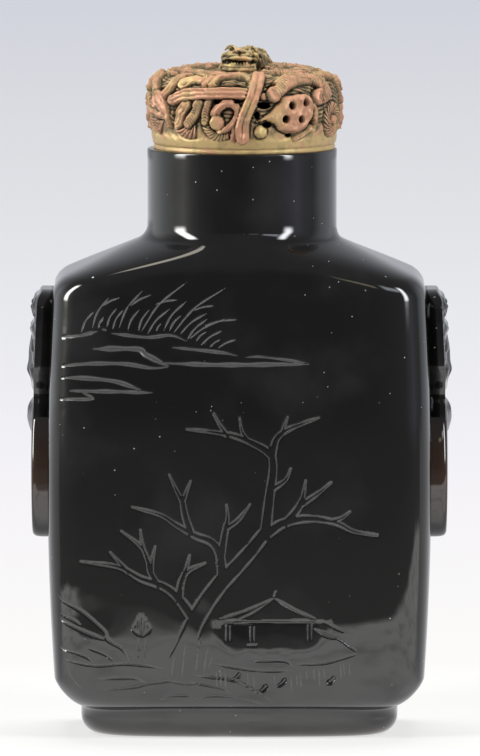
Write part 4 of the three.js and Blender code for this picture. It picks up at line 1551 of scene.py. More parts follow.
FRONT_RELIEF = (
    Fan((-61.5, 4.59), (1.2, 2.9), (205.0, 305.0), 11),
    Fan((-36.0, 3.78), (0.55, 2.3), (190.0, 335.0), 10),
    Fan((-15.8, 3.15), (0.9, 1.8), (185.0, 345.0), 12),
    Fan((68.0, 3.18), (0.45, 1.85), (0.0, 360.0), 22, swirl=0.7),
    Strap(((-90.0, 6.7), (-88.5, 5.6), (-74.0, 4.5), (-64.0, 3.85)), 0.6, 0.35, lines=2.6),
    Strap(((-79.0, 7.7), (-72.0, 6.8), (-67.0, 5.9)), 0.5, 0.45, lines=3.2),
    Strap(((-49.0, 7.95), (-51.2, 6.75), (-57.8, 5.6)), 0.4, 0.52),
    Strap(((-89.0, 4.26), (-67.5, 3.84), (-57.2, 3.6)), 0.35, 0.3),
    Strap(((-64.8, 5.3), (-55.5, 4.35), (-50.8, 2.6)), 0.9, 0.48, taper=0.85),
    Strap(((-20.2, 7.5), (-16.0, 8.3), (-8.0, 8.7), (1.0, 8.4), (5.0, 7.6)), 0.4, 0.5, lines=3.0),
    Strap(((-43.0, 7.1), (-36.2, 7.7), (-27.5, 7.75)), 0.6, 0.36, taper=0.4, gilt=1.0),
    Strap(((-21.5, 6.75), (-20.8, 7.6), (-19.8, 8.4)), 0.3, 0.42),
    Strap(((-26.0, 6.9), (-25.0, 7.6), (-23.0, 8.3)), 0.28, 0.36),
    Strap(((-24.5, 3.3), (-23.5, 4.7), (-22.2, 5.5)), 0.4, 0.3, lines=3.4),
    Strap(((-43.0, 3.15), (-41.0, 4.2), (-37.2, 5.0)), 0.55, 0.44, gilt=0.5),
    Strap(((-35.8, 3.06), (-31.0, 4.1), (-28.2, 5.2)), 0.5, 0.4, lines=3.4, gilt=0.5),
    Strap(((-48.0, 5.35), (-37.8, 5.95), (-16.0, 6.2), (1.8, 6.2)), 0.56, 0.56, groove=0.36),
    Strap((
        (-18.0, 4.1), (-15.8, 4.7), (-11.2, 5.2), (-6.5, 5.1), (-3.8, 4.4), (-5.5, 3.5), (-9.5, 2.75),
        (-15.0, 2.4),
    ), 0.45, 0.5, taper=0.35),
    Boss((-16.8, 3.24), 0.76, 0.55),
    Strap(((-5.8, 2.6), (-7.0, 1.7)), 0.3, 0.3),
    Strap((
        (11.2, 8.9), (7.2, 6.8), (4.5, 5.55), (1.0, 4.2), (-1.2, 3.0), (-1.2, 1.7),
    ), 0.66, 0.55, groove=0.0),
    Boss((10.0, 2.31), 0.66, 0.42, gilt=1.0),
    Strap(((12.0, 5.9), (18.5, 6.1)), 0.36, 0.3),
    Strap(((47.2, 5.0), (48.5, 3.7), (42.2, 2.25), (32.8, 1.5)), 0.25, 0.3, gilt=0.5),
    Strap(((60.0, 8.1), (72.0, 7.9), (84.0, 7.5)), 0.45, 0.42, lines=3.0),
    Strap(((84.0, 7.3), (86.0, 6.2), (88.0, 5.0)), 0.5, 0.36, lines=3.2),
    Strap((
        (18.5, 6.1), (24.8, 7.05), (35.8, 7.8), (48.8, 7.8), (56.5, 7.0), (58.8, 6.1), (51.0, 5.6),
    ), 0.82, 0.46, lines=3.4),
    Leaf((
        (6.5, 3.27), (15.0, 4.2), (21.2, 5.22), (23.5, 5.79), (31.5, 5.97), (40.0, 6.0), (45.0, 5.34),
        (45.5, 4.17), (40.8, 3.0), (34.5, 2.31), (28.2, 2.13), (22.5, 2.37), (17.8, 3.15), (13.0, 3.5),
    ), 0.5),
    Boss((68.0, 3.18), 0.5, 0.45),
)

FRONT_HOLES = (
    Hole((-16.8, 5.37), (0.45, 0.27)), Hole((-4.0, 5.4), (0.4, 0.2)), Hole((-7.2, 7.08), (1.45, 0.2)),
    Hole((12.2, 5.04), (0.72, 0.42)), Hole((7.8, 4.0), (0.32, 0.42)), Hole((14.0, 3.0), (0.5, 0.32)),
    Hole((29.0, 4.95), (0.43, 0.43)), Hole((38.5, 5.19), (0.41, 0.43)), Hole((25.0, 3.6), (0.43, 0.43)),
    Hole((35.2, 3.54), (0.41, 0.42)), Hole((28.5, 1.86), (0.45, 0.2)), Hole((69.5, 6.69), (0.38, 0.33)),
    Hole((-62.8, 6.3), (0.4, 0.33)), Hole((-32.5, 5.07), (0.2, 0.3)), Hole((-46.5, 3.99), (0.26, 0.9)),
    Hole((45.5, 3.0), (0.24, 0.5)), Hole((16.8, 6.99), (0.6, 0.24)), Hole((-76.2, 5.0), (0.2, 0.3)),
)


def back_relief() -> tuple[list, list[Hole]]:
    """The back of the cap: scrolls of cloud under a wavy body, turn about.

    Returns:
        The raised pieces and the holes.
    """
    raised = []
    holes = []
    for i, degrees in enumerate((104.0, 134.0, 164.0, 194.0, 224.0, 254.0)):
        hand = 1.0 if i % 2 else -1.0
        scroll = (
            (degrees - 6.0 * hand, 3.0), (degrees - 5.0 * hand, 4.4), (degrees, 5.0),
            (degrees + 7.0 * hand, 4.7), (degrees + 9.0 * hand, 3.4), (degrees + 8.0 * hand, 2.2),
        )
        body = ((degrees - 13.0, 6.4), (degrees, 7.3 if i % 2 else 6.7), (degrees + 17.0, 6.4))
        raised += [
            Fan((degrees, 3.3), (1.0, 1.9), (185.0, 355.0), 11, swirl=0.4 * hand),
            Strap(scroll, 0.46, 0.5, taper=0.3),
            Boss((degrees, 3.3), 0.7, 0.52, gilt=0.6 * (i % 2)),
            Strap(body, 0.7, 0.5, lines=3.0),
        ]
        holes += [Hole((degrees + 15.0, 4.6), (0.55, 0.7)), Hole((degrees + 3.0, 8.3), (0.7, 0.22))]
    return raised, holes


def dome_relief() -> list[Strap]:
    """The dragon's body, which winds round the dome, and the smaller waves about it.

    Returns:
        The raised pieces.
    """
    waves = [
        Strap(
            ((degrees, 9.2), (degrees + 7.0, 8.7), (degrees + 15.0, 8.6)), 0.42, 0.26,
            taper=0.5, lines=3.0, gilt=0.9 * (degrees % 3 == 0),
        )
        for degrees in range(36, 330, 19)
    ]
    body = (
        (28.0, 10.6), (60.0, 9.9), (95.0, 10.0), (140.0, 10.4), (190.0, 10.0), (240.0, 10.4), (290.0, 10.0),
        (322.0, 9.8), (340.0, 9.4),
    )
    tail = ((50.0, 13.0), (120.0, 12.8), (200.0, 13.2), (290.0, 12.8))
    return [
        *waves,
        Strap(body, 0.95, 0.34, taper=0.35, lines=2.6),
        Strap(tail, 0.75, 0.3, taper=0.4, lines=2.6),
    ]


@dataclass
class Stopper:
    """The pierced cast cap, in millimetres."""

    cap: CapForm
    finish: CastFinish
    front_columns: int = 290
    back_columns: int = 110
    wall_rows: int = 80
    dome_rows: int = 28
    band: float = 1.4
    ground: float = -0.07
    moat: float = 0.24
    moat_width: float = 0.15
    deepest: float = -0.5
    unevenness: float = 0.016
    ribs: float = 2.4
    ribs_from: float = 3.0
    ribs_shade: float = 0.6
    rim_bead: float = 0.06
    rim_groove: float = 0.14
    rim_groove_at: float = 0.45
    hole_snap: float = 0.075
    # These set how worn each place is, with painted shade: low and sunken places come out darker.
    wear_and_shade_level: float = 0.4
    wear_and_shade_height: float = 0.7
    wear_and_shade_edge: float = 1.3
    wear_dome: float = 0.1
    wear_band: float = 0.35
    wear_rounds: int = 12

    def __post_init__(self) -> None:
        """Gathers the raised pieces and the holes."""
        raised, holes = back_relief()
        self.raised = [*dome_relief(), *FRONT_RELIEF, *raised]
        self.holes = [*FRONT_HOLES, *holes]

    def degrees(self, share: Array) -> Array:
        """Degrees round for a share of the columns, closer together at the front.

        Args:
            share: The share of the columns.

        Returns:
            Degrees round.
        """
        total = self.front_columns + self.back_columns
        index = share * total
        half = self.front_columns / 2.0
        return np.interp(index, (0.0, half, total - half, total), (0.0, 92.0, 268.0, 360.0))

    def model(self, degrees: Array, run: Array) -> dict[str, Array]:
        """Lays the pieces of the relief over one another, each with a moat round it.

        Args:
            degrees: Degrees round of each place.
            run: Millimetres up of each place.

        Returns:
            The height, gilding, fine lines and where they show.
        """
        spots = self.cap.place(degrees, run, np.zeros(len(run)))
        ornament = smoothstep(run, self.band - 0.2, self.band + 0.3)
        dome = smoothstep(run, self.cap.wall_top, self.cap.wall_top + 0.6)
        comb = self.ribs * (run + 0.35 * np.sin(np.radians(9.0 * degrees))) + degrees / 30.0
        ribbed = smoothstep(run, self.ribs_from - 0.5, self.ribs_from + 0.7)
        ground = self.ground + LINE_HEIGHT * ribbed * np.sin(2.0 * np.pi * comb)
        height = ground * ornament * (1.0 - 0.5 * dome)
        height += self.rim_bead * np.exp(-((run / 0.3) ** 2))
        height -= self.rim_groove * np.exp(-(((run - self.rim_groove_at) / 0.1) ** 2))
        gilt = np.maximum(1.0 - smoothstep(run, self.band, self.ribs_from), 0.5 * dome)
        combed = self.ribs_shade * ribbed * (1.0 - dome)
        for piece in self.raised:
            mark = piece.mark(self.cap, degrees, run, spots)
            inside = mark.gap > 0.0
            moat = self.moat * np.exp(-((np.minimum(mark.gap, 0.0) / self.moat_width) ** 2)) * ornament
            height = np.where(inside, mark.rise, np.maximum(height - moat, self.deepest))
            gilt = np.where(inside, piece.gilt, gilt)
            comb = np.where(inside, mark.comb, comb)
            combed = np.where(inside, float(piece.lines > 0.0), combed)
        height += uneven(spots, self.unevenness) * ornament
        return {"height": height, "gilt": gilt, "comb": comb, "combed": combed}

    def build(self) -> Piece:
        """Makes the shell: a grid wrapped into a cap, pierced, and then given its inside.

        Returns:
            The piece.
        """
        columns = self.front_columns + self.back_columns
        rows = self.wall_rows + self.dome_rows
        bm = bmesh.new()
        bmesh.ops.create_grid(bm, x_segments=columns, y_segments=rows, size=1.0)
        names = ("degrees", "run", "relief", "gilt", "comb", "combed", "inside")
        for name in names:
            bm.verts.layers.float.new(name)
        layers = {name: bm.verts.layers.float[name] for name in names}
        verts = list(bm.verts)
        grid = np.array([(vert.co.x + 1.0, vert.co.y + 1.0) for vert in verts]) / 2.0
        split = self.wall_rows / rows
        run = np.interp(grid[:, 1], (0.0, split, 1.0), (0.0, self.cap.wall_top, self.cap.length))
        degrees = self.degrees(grid[:, 0])
        inside_hole = self._snap(degrees, run)
        stored = self.model(degrees, run)
        height = stored.pop("height")
        band = 1.0 - smoothstep(run, self.band - 0.1, self.ribs_from)
        # Worn level with painted shade: recesses darker, proud places lighter, and the gilt band lighter.
        wear_and_shade = self._wear_and_painted_shade(height, grid, columns, rows) + self.wear_band * band
        stored["relief"] = np.clip(wear_and_shade, 0.0, 1.0)
        stored.update(degrees=degrees, run=run)
        place = self.cap.place(degrees, run, height)
        for i, vert in enumerate(verts):
            vert.co = place[i]
            for name, numbers in stored.items():
                vert[layers[name]] = numbers[i]
        marked = {vert for vert, hole in zip(verts, inside_hole) if hole}
        pierced = [face for face in bm.faces if marked.issuperset(face.verts)]
        bmesh.ops.delete(bm, geom=pierced, context="FACES")
        bmesh.ops.remove_doubles(bm, verts=bm.verts, dist=1e-4)
        self._line(bm, layers)
        bmesh.ops.recalc_face_normals(bm, faces=bm.faces)
        for name in ("degrees", "run"):
            bm.verts.layers.float.remove(bm.verts.layers.float[name])
        return finish_mesh("stopper_cap", bm)

    def _snap(self, degrees: Array, run: Array) -> Array:
        """Moves the places nearest to a hole's edge onto it.

        Args:
            degrees: Degrees round of each vertex, changed in place.
            run: Millimetres up of each vertex, changed in place.

        Returns:
            Whether each vertex is in or on a hole.
        """
        marked = np.zeros(len(run), bool)
        for hole in self.holes:
            share = hole.share(self.cap, degrees, run)
            reach = self.hole_snap / min(hole.radii)
            edge = np.abs(share - 1.0) < reach
            over, up = self.cap.flat(degrees, run, hole.centre)
            degrees[edge] += over[edge] * (1.0 / share[edge] - 1.0) / self.cap.degree
            run[edge] += up[edge] * (1.0 / share[edge] - 1.0)
            marked |= edge | (share < 1.0)
        return marked

    def _wear_and_painted_shade(self, height: Array, grid: Array, columns: int, rows: int) -> Array:
        """How worn each place is, with painted shade: high where it stands above what is round it, low and
        darker where it sits below.

        Args:
            height: Height of each place.
            grid: Its share of the columns and rows.
            columns: How many columns.
            rows: How many rows.

        Returns:
            The worn and shaded level of each place.
        """
        column = np.rint(grid[:, 0] * columns).astype(int)
        row = np.rint(grid[:, 1] * rows).astype(int)
        table = np.zeros((rows + 1, columns + 1))
        table[row, column] = height
        soft = table.copy()
        for _ in range(self.wear_rounds):
            across = (np.roll(soft, 1, axis=1) + np.roll(soft, -1, axis=1)) / 2.0
            up = (np.vstack([soft[:1], soft[:-1]]) + np.vstack([soft[1:], soft[-1:]])) / 2.0
            soft = (soft + across + up) / 3.0
        proud = (table - soft)[row, column]
        dome = smoothstep(row, self.wall_rows, self.wall_rows + 6.0)
        return self.wear_and_shade_level + self.wear_and_shade_height * height + self.wear_and_shade_edge * proud - self.wear_dome * dome

    def _line(self, bm: BMesh, layers: dict) -> None:
        """Adds the inside: a copy of the outside, joined to it round every edge.

        Args:
            bm: The mesh.
            layers: Its stored numbers, by name.
        """
        made = bmesh.ops.extrude_face_region(bm, geom=bm.faces[:], use_keep_orig=True)
        copies = [item for item in made["geom"] if isinstance(item, bmesh.types.BMVert)]
        degrees = np.array([vert[layers["degrees"]] for vert in copies])
        run = np.array([vert[layers["run"]] for vert in copies])
        for vert, spot in zip(copies, self.cap.inside(degrees, run)):
            vert.co = spot
            # Painted shade: the inside is marked to be painted near black.
            vert[layers["inside"]] = 1.0
            vert[layers["relief"]] = 0.0
            vert[layers["gilt"]] = 0.0
        bmesh.ops.remove_doubles(bm, verts=copies, dist=1e-4)

    def dress(self, piece: Piece, material: Material) -> None:
        """Gives a piece the metal's finish and ties it to the model.

        Args:
            piece: The piece.
            material: The metal.
        """
        piece.data.materials.append(material)
        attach(piece, "root")
        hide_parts("stopper")


@dataclass
class DragonHead:
    """The dragon's head on the middle of the cap, looking to the front, in millimetres."""

    unevenness: float = 0.014
    voxel: float = 0.06
    dome_z: float = 67.4
    root: float = 0.5
    gilt: float = 1.6
    wear_and_shade_level: float = 0.43
    wear_and_shade_edge: float = 26.0
    # Painted shade: how much darker the inside of the open mouth is.
    mouth_painted_shade: float = 0.6
    wear_mane: float = 0.16

    def _ball(self, bm: BMesh, centre: tuple, radii: tuple, tilt: float = 0.0) -> None:
        """Adds an egg shape, tilted about X."""
        place = Matrix.LocRotScale(Vector(centre), Matrix.Rotation(tilt, 3, "X"), Vector(radii))
        bmesh.ops.create_icosphere(bm, subdivisions=3, radius=1.0, matrix=place)

    def _strand(self, bm: BMesh, points: tuple, root: float, tip: float) -> None:
        """Adds a tapering strand along a smooth line.

        Args:
            bm: The mesh.
            points: The line.
            root: Radius at its start.
            tip: Radius at its end.
        """
        line = spline(points, 0.6 * min(root, tip))
        for i, spot in enumerate(line):
            size = lerp(root, tip, i / (len(line) - 1))
            bmesh.ops.create_icosphere(bm, subdivisions=2, radius=size, matrix=Matrix.Translation(spot))

    def _tooth(self, bm: BMesh, place: Matrix, radii: Pair, length: float) -> None:
        """Adds a pointed tooth."""
        root, tip = radii
        bmesh.ops.create_cone(
            bm, cap_ends=True, segments=8, radius1=root, radius2=tip, depth=length, matrix=place,
        )

    def _face(self, bm: BMesh) -> None:
        """Skull, muzzle, nose, eyes, brows and cheeks.

        Args:
            bm: The mesh.
        """
        self._ball(bm, (0.35, -1.5, 68.7), (1.75, 2.1, 1.1))
        self._ball(bm, (0.9, 0.4, 68.0), (1.7, 2.0, 0.9))
        for x in (-0.65, 0.65):
            self._ball(bm, (x, -3.9, 69.2), (0.85, 1.15, 0.42), -0.08)
        self._ball(bm, (0.0, -3.4, 69.6), (0.5, 1.3, 0.32), -0.05)
        for x in (-0.36, 0.36):
            self._ball(bm, (x, -4.85, 69.66), (0.3, 0.28, 0.2))
        for x, y, z in ((-0.8, -3.25, 69.93), (0.95, -3.2, 69.84)):
            self._ball(bm, (x, y, z), (0.36, 0.34, 0.3))
        brows = (
            ((-1.45, -2.9, 69.6), (-0.95, -3.3, 70.1), (-0.35, -3.75, 69.85), (-0.15, -4.1, 69.8)),
            ((1.75, -2.7, 69.5), (1.15, -3.2, 70.0), (0.45, -3.7, 69.8), (0.2, -4.1, 69.78)),
        )
        for brow in brows:
            self._strand(bm, brow, 0.17, 0.12)
        lip = (
            (-1.6, -3.0, 68.65), (-1.6, -4.1, 68.8), (-0.9, -4.95, 68.92), (0.0, -5.1, 68.95),
            (0.9, -4.95, 68.9), (1.55, -4.1, 68.78), (1.6, -3.0, 68.6),
        )
        self._strand(bm, lip, 0.19, 0.19)
        for x in (-1.05, -0.5, 0.5, 1.05):
            crease = ((x, -3.4, 69.66), (1.1 * x, -4.3, 69.45), (1.05 * x, -4.85, 69.15))
            self._strand(bm, crease, 0.14, 0.1)
        for x, z in ((-1.62, 68.75), (1.65, 68.7)):
            cheek = ((0.95 * x, -4.2, z + 0.55), (1.05 * x, -3.6, z + 0.1), (x, -3.5, z - 0.7))
            self._strand(bm, cheek, 0.22, 0.17)

    def _jaw(self, bm: BMesh) -> None:
        """The open mouth's floor, the lower jaw with its ribs, and its teeth.

        Args:
            bm: The mesh.
        """
        self._ball(bm, (0.0, -3.4, 68.1), (1.45, 1.3, 0.45))
        self._ball(bm, (0.05, -3.5, 68.55), (0.75, 1.0, 0.16))
        for z, size in ((68.16, 0.17), (67.8, 0.24)):
            chin = (
                (-1.55, -3.2, z), (-1.45, -4.3, z), (-0.8, -5.0, z), (0.0, -5.15, z), (0.8, -5.0, z),
                (1.4, -4.3, z), (1.5, -3.2, z),
            )
            self._strand(bm, chin, size, size)
        arc = spline(((-1.4, -4.3), (-0.8, -4.98), (0.0, -5.12), (0.8, -4.98), (1.36, -4.3)), 0.3)
        for x, y in arc:
            place = Matrix.Translation((x, y, 68.4))
            self._tooth(bm, place, (0.16, 0.02), 0.4)
        for x in (-1.25, 1.2):
            place = Matrix.Translation((x, -4.62, 68.6)) @ Matrix.Rotation(math.pi, 4, "X")
            self._tooth(bm, place, (0.15, 0.03), 0.55)

    def _mane(self, bm: BMesh) -> None:
        """Strands of the mane on both sides, and the horns.

        Args:
            bm: The mesh.
        """
        self._ball(bm, (2.0, -1.3, 68.4), (0.9, 1.3, 0.85))
        for i in range(8):
            share = i / 7
            root = (lerp(1.6, 1.1, share), lerp(-3.1, -0.6, share), lerp(69.2, 69.6, share))
            middle = (lerp(2.2, 2.4, share), lerp(-2.9, 0.3, share), lerp(69.0, 69.35, share))
            tip = (lerp(2.7, 3.6, share), lerp(-2.7, 0.9, share), lerp(67.4, 67.8, share))
            self._strand(bm, (root, middle, tip), 0.17, 0.1)
        for i in range(6):
            share = i / 5
            root = (lerp(-1.5, -0.8, share), lerp(-3.0, -1.2, share), lerp(68.9, 69.4, share))
            tip = (lerp(-2.0, -1.7, share), lerp(-1.6, 0.9, share), lerp(67.6, 68.2, share))
            self._strand(bm, (root, tuple((a + b) / 2 + 0.1 for a, b in zip(root, tip)), tip), 0.26, 0.13)
        for x, lean in ((-0.5, -0.35), (0.75, 0.5)):
            horn = ((x, -2.6, 69.7), (x + lean, -1.4, 69.85), (x + 1.6 * lean, 0.0, 69.5))
            self._strand(bm, horn, 0.2, 0.1)

    def build(self) -> Piece:
        """Joins the balls and strands into one skin, and marks what is worn, gilt, or dark with painted
        shade.

        Returns:
            The piece.
        """
        bm = bmesh.new()
        self._face(bm)
        self._jaw(bm)
        self._mane(bm)
        rough = bpy.data.meshes.new("dragon_rough")
        bm.to_mesh(rough)
        bm.free()
        draft = bpy.data.objects.new("dragon_rough", rough)
        bpy.context.scene.collection.objects.link(draft)
        remesh = draft.modifiers.new("skin", "REMESH")
        remesh.mode = "VOXEL"
        remesh.voxel_size = self.voxel
        graph = bpy.context.evaluated_depsgraph_get()
        skin = bpy.data.meshes.new_from_object(draft.evaluated_get(graph))
        bpy.data.objects.remove(draft)
        bm = bmesh.new()
        bm.from_mesh(skin)
        bmesh.ops.smooth_vert(
            bm, verts=bm.verts, factor=0.4, use_axis_x=True, use_axis_y=True, use_axis_z=True,
        )
        everything = [*bm.verts, *bm.edges, *bm.faces]
        under = bmesh.ops.bisect_plane(
            bm, geom=everything, plane_co=(0.0, 0.0, self.dome_z - self.root), plane_no=(0.0, 0.0, 1.0),
            clear_inner=True,
        )
        rim = [edge for edge in under["geom_cut"] if isinstance(edge, bmesh.types.BMEdge)]
        bmesh.ops.holes_fill(bm, edges=rim)
        self._mark(bm)
        return finish_mesh("stopper_dragon", bm)

    def _mark(self, bm: BMesh) -> None:
        """Stores how worn a vertex is by how far it stands out from its neighbours, with painted shade in
        its hollows and in the mouth.

        Args:
            bm: The mesh.
        """
        names = ("relief", "gilt", "inside")
        for name in names:
            bm.verts.layers.float.new(name)
        relief, gilt, _ = (bm.verts.layers.float[name] for name in names)
        verts = list(bm.verts)
        bm.normal_update()
        spots = np.array([vert.co for vert in verts])
        proud = np.zeros(len(verts))
        for i, vert in enumerate(verts):
            ring = [edge.other_vert(vert).co for edge in vert.link_edges]
            middle = sum(ring, Vector()) / len(ring)
            proud[i] = (vert.co - middle).dot(vert.normal)
        x, y, z = spots.T
        # Painted shade: the open mouth is darkened.
        mouth = (y > -4.9) & (y < -2.6) & (z > 68.3) & (z < 68.85) & (np.abs(x) < 1.5)
        mane = smoothstep(x, 1.5, 2.0)
        # Proud places read as worn; hollows and the mouth get painted shade.
        wear_and_shade = self.wear_and_shade_level + self.wear_and_shade_edge * proud - self.mouth_painted_shade * mouth - self.wear_mane * mane
        wear_and_shade = np.clip(wear_and_shade, 0.0, 1.0)
        lumps = uneven(spots, self.unevenness)
        for vert, worn, lump in zip(verts, wear_and_shade, lumps):
            vert[relief] = worn + 2.0 * lump
            vert[gilt] = self.gilt
            vert.co += vert.normal * float(lump)


@dataclass(frozen=True)
class Window:
    """A bright patch of the room, by its degrees round from the front and up."""

    around: Pair
    up: Pair
    light: Triple
    blur: float

    def mask(self, around: Value, up: Value) -> Value:
        """1 inside the patch, and 0 outside, with soft edges.

        Args:
            around: Degrees round.
            up: Degrees up.

        Returns:
            The mask.
        """
        result = 1.0
        for place, (low, high) in ((around, self.around), (up, self.up)):
            result = result * place.smooth(low - self.blur, low + self.blur)
            result = result * place.smooth(high + self.blur, high - self.blur)
        return result


@dataclass(frozen=True)
class Studio:
    """The camera, the pale floor and the lights, in millimetres."""

    image: tuple[int, int] = (480, 756)
    scale: float = 9.83
    distance: float = 1600.0
    elevation: float = math.radians(5.2)
    aim: Triple = (0.06, 0.0, 36.0)
    sensor: float = 36.0
    room: Triple = (0.38, 0.385, 0.40)
    ceiling: Triple = (0.25, 0.25, 0.26)
    far_wall: Triple = (0.65, 0.665, 0.73)
    floor_tones: tuple = (
        (0.0, (0.946, 0.946, 0.93)), (0.031, (0.88, 0.88, 0.87)), (0.055, (0.825, 0.817, 0.802)),
        (0.2, (0.811, 0.796, 0.819)), (0.43, (0.783, 0.791, 0.823)), (0.7, (0.779, 0.788, 0.827)),
        (0.92, (0.753, 0.768, 0.843)),
    )
    table_middle: float = 46.0
    table_half: Pair = (150.0, 71.0)
    mirror_tones: tuple = (
        (0.0, (0.73, 0.73, 0.72)), (0.18, (0.84, 0.84, 0.83)), (0.21, (0.14, 0.14, 0.137)),
        (0.36, (0.13, 0.13, 0.128)), (0.5, (0.108, 0.108, 0.107)), (0.7, (0.096, 0.096, 0.096)),
    )
    mirror_behind: Triple = (0.30, 0.30, 0.31)
    mirror_shade: Triple = (0.14, 0.14, 0.137)
    mirror_strength: float = 2.5
    shade_middle: Pair = (-32.0, -66.0)
    shade_half: Pair = (36.0, 19.0)
    floor_half: float = 3000.0
    floor_reach: float = 1200.0
    floor_glow: float = 0.72
    floor_shade: float = 0.17
    back_tones: tuple = (
        (0.0, (0.58, 0.60, 0.64)), (0.09, (0.55, 0.57, 0.61)), (0.35, (0.42, 0.43, 0.46)),
        (0.5, (0.36, 0.37, 0.39)), (0.65, (0.30, 0.31, 0.33)), (1.0, (0.25, 0.25, 0.26)),
    )
    lamps: tuple = (
        ("top_left", (-620.0, -420.0, 560.0), (260.0, 260.0), 9.5),
        ("top_right", (620.0, -400.0, 560.0), (260.0, 260.0), 8.0),
        ("overhead", (0.0, 160.0, 900.0), (500.0, 300.0), 11.0),
    )
    lamps_aim: Triple = (0.0, 0.0, 30.0)
    windows: tuple[Window, ...] = (
        Window((-142.0, -110.0), (71.0, 78.0), (5.0, 4.75, 4.0), 2.0),
        Window((-89.0, -74.0), (3.5, 50.0), (24.0, 23.6, 23.0), 4.0),
        Window((53.5, 63.0), (3.5, 42.0), (19.0, 19.4, 20.0), 4.0),
        Window((28.0, 50.0), (29.0, 38.0), (3.6, 3.8, 4.2), 3.0),
        Window((9.0, 21.0), (26.5, 31.0), (2.1, 1.9, 1.4), 1.5),
    )
    room_tones: tuple = (
        (0.0, (1.0, 1.03, 1.1)), (0.164, (1.05, 1.07, 1.1)), (0.211, (0.85, 0.87, 0.9)),
        (0.253, (0.78, 0.77, 0.74)), (0.289, (1.0, 0.99, 0.95)), (0.322, (0.48, 0.47, 0.45)),
        (0.353, (0.27, 0.27, 0.27)), (0.417, (0.18, 0.18, 0.18)), (0.5, (0.15, 0.15, 0.155)),
        (0.628, (0.28, 0.28, 0.30)), (0.663, (0.43, 0.44, 0.5)), (0.694, (0.61, 0.62, 0.72)),
        (0.728, (0.42, 0.43, 0.48)), (0.767, (0.31, 0.32, 0.34)), (0.811, (0.74, 0.77, 0.83)),
        (0.867, (0.75, 0.79, 0.86)), (1.0, (1.0, 1.03, 1.1)),
    )

    def camera(self) -> None:
        """Sets up a long lens at the photograph's angle."""
        data = bpy.data.cameras.new("camera")
        data.sensor_width = self.sensor
        data.lens = self.scale * self.distance * self.sensor / max(self.image)
        data.clip_start = 0.1
        data.clip_end = 20.0
        camera = bpy.data.objects.new("camera", data)
        back = Vector((0.0, -math.cos(self.elevation), math.sin(self.elevation)))
        camera.location = (Vector(self.aim) + back * self.distance) * MM
        camera.rotation_euler = (-back).to_track_quat("-Z", "Y").to_euler()
        bpy.context.scene.collection.objects.link(camera)
        bpy.context.scene.camera = camera

    @staticmethod
    def _spot(part: Node, middle: Pair, half: Pair) -> list[Value]:
        """Places on the floor from the middle of a patch, with 1 at its edges."""
        return [
            (part.value(axis) - centre * MM) * (1.0 / (size * MM))
            for axis, centre, size in zip("XY", middle, half)
        ]

    def floor(self) -> None:
        """Lays a pale floor that fades to cool grey far away, and mirrors in the glass only close by."""
        bm = bmesh.new()
        bmesh.ops.create_grid(bm, x_segments=1, y_segments=1, size=self.floor_half)
        floor = finish_mesh("floor", bm)
        material, graph = new_material("floor")
        path = graph.add("ShaderNodeLightPath", {}, {})
        place = graph.coordinates()
        reach = graph.add("ShaderNodeVectorMath", {"operation": "LENGTH"}, {0: place}).value("Value")
        seen = graph.ramp(reach * (1.0 / (self.floor_reach * MM)), self.floor_tones)
        lit = graph.add("ShaderNodeEmission", {}, {"Color": seen, "Strength": self.floor_glow})
        dim = graph.mix(self.floor_shade, (0.0, 0.0, 0.0), seen)
        shaded = graph.add("ShaderNodeBsdfDiffuse", {}, {"Color": dim})
        pale = graph.add("ShaderNodeAddShader", {}, {0: lit.socket(0), 1: shaded.socket(0)})
        part = graph.add("ShaderNodeSeparateXYZ", {}, {0: place})
        across, ahead = self._spot(part, (self.table_middle, 0.0), self.table_half)
        table = ((across * across) ** 2.0 + (ahead * ahead) ** 2.0) ** 0.25
        cloudy = table + 0.34 * (graph.noise(place, 28.0, 2.0) - 0.5)
        even = graph.ramp(cloudy * 0.2, self.mirror_tones)
        patchy = graph.noise(place, 75.0, 3.0).smooth(0.46, 0.7) * 0.35
        before = graph.mix(patchy, even, self.mirror_shade)
        mirrored = graph.mix(part.value("Y").smooth(-0.016, 0.004), before, self.mirror_behind)
        across, ahead = self._spot(part, self.shade_middle, self.shade_half)
        shade = (across * across + ahead * ahead).smooth(1.0, 0.25) * 0.85
        mirrored = graph.mix(shade, mirrored, self.mirror_shade)
        bright = graph.add("ShaderNodeEmission", {}, {"Color": mirrored, "Strength": self.mirror_strength})
        clear = graph.add("ShaderNodeBsdfTransparent", {}, {})
        near = graph.add("ShaderNodeMixShader", {}, {
            0: reach.smooth(0.3, 0.6), 1: bright.socket(0), 2: clear.socket(0),
        })
        both = graph.add("ShaderNodeMixShader", {}, {
            0: path.value("Is Glossy Ray"), 1: pale.socket(0), 2: near.socket(0),
        })
        graph.add("ShaderNodeOutputMaterial", {}, {"Surface": both.socket(0)})
        floor.data.materials.append(material)

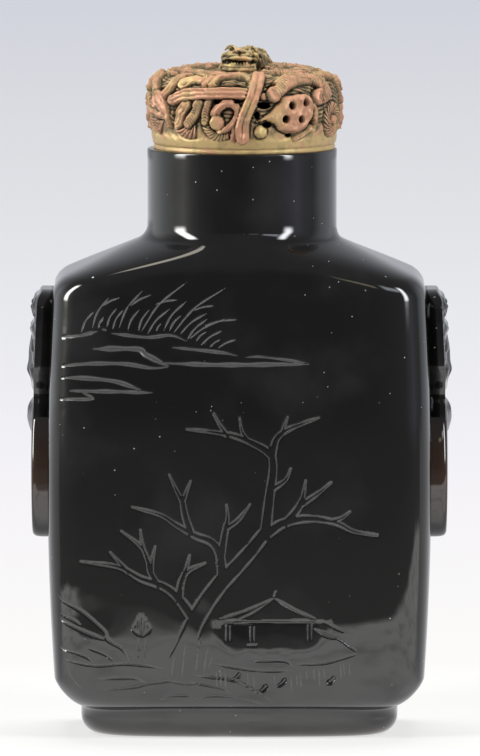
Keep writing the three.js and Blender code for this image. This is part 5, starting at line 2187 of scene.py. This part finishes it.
    def world(self) -> None:
        """A pale room: even light for what is matte, and dark and bright parts for what is glossy."""
        world = bpy.data.worlds.new("room")
        bpy.context.scene.world = world
        world.use_nodes = True
        graph = Graph(world.node_tree)
        path = graph.add("ShaderNodeLightPath", {}, {})
        way = graph.add("ShaderNodeTexCoord", {}, {}).socket("Generated")
        part = graph.add("ShaderNodeSeparateXYZ", {}, {0: way})
        ahead = part.value("Y") * -1.0
        turn = part.value("X").angle(ahead)
        around = graph.ramp(turn * (0.5 / math.pi) + 0.5, self.room_tones)
        rise = part.value("Z")
        walls = graph.mix(rise.smooth(0.25, 0.75), around, self.ceiling)
        degrees = turn * (180.0 / math.pi)
        behind = (degrees * degrees).smooth(132.0**2, 149.0**2) * rise.smooth(-0.085, -0.05)
        glossy = graph.mix(behind, walls, graph.ramp(rise, self.back_tones))
        up = rise.arcsine() * (180.0 / math.pi)
        for window in self.windows:
            glossy = graph.mix(window.mask(degrees, up), glossy, window.light)
        matte = graph.mix(path.value("Is Glossy Ray"), self.room, glossy)
        colour = graph.mix(path.value("Is Camera Ray"), matte, self.far_wall)
        shader = graph.add("ShaderNodeBackground", {}, {"Color": colour, "Strength": 1.0})
        graph.add("ShaderNodeOutputWorld", {}, {"Surface": shader.socket(0)})

    def light(self, name: str, spot: Triple, size: Pair, power: float) -> None:
        """Adds a soft panel that faces the bottle.

        Args:
            name: The lamp's name.
            spot: Its place.
            size: Its width and height.
            power: Its power in watts.
        """
        data = bpy.data.lights.new(name, "AREA")
        data.shape = "RECTANGLE"
        data.size = size[0] * MM
        data.size_y = size[1] * MM
        data.energy = power
        lamp = bpy.data.objects.new(name, data)
        lamp.visible_glossy = False
        lamp.location = Vector(spot) * MM
        lamp.rotation_euler = (Vector(self.lamps_aim) - Vector(spot)).to_track_quat("-Z", "Y").to_euler()
        bpy.context.scene.collection.objects.link(lamp)

    def build(self) -> None:
        """Sets up everything around the object."""
        self.camera()
        self.floor()
        self.world()
        for lamp in self.lamps:
            self.light(*lamp)
        bpy.context.scene.view_settings.view_transform = "Standard"


def main() -> None:
    """Builds and dresses every piece in order, and logs each piece's triangles."""
    logging.basicConfig(level=logging.INFO, format="%(message)s")
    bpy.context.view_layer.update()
    Studio().build()
    scenes = (
        Scenery.make(Side.FRONT, front_cuts(), LIMBS, DIPS),
        Scenery.make(Side.BACK, back_cuts()),
    )
    bottle = Bottle(scenes, GlassFinish())
    glass = bottle.finish.material()
    handles = [Handle(side, bottle) for side in (-1.0, 1.0)]
    carved = [piece for handle in handles for piece in (handle.mask(), handle.ring())]
    for piece in (bottle.build(), *carved):
        bottle.dress(piece, glass)
        LOG.info("%s: %d triangles", piece.name, triangles(piece))
    stopper = Stopper(CapForm(), CastFinish())
    metal = stopper.finish.material()
    for piece in (stopper.build(), DragonHead().build()):
        stopper.dress(piece, metal)
        LOG.info("%s: %d triangles", piece.name, triangles(piece))


if __name__ == "__main__":
    main()
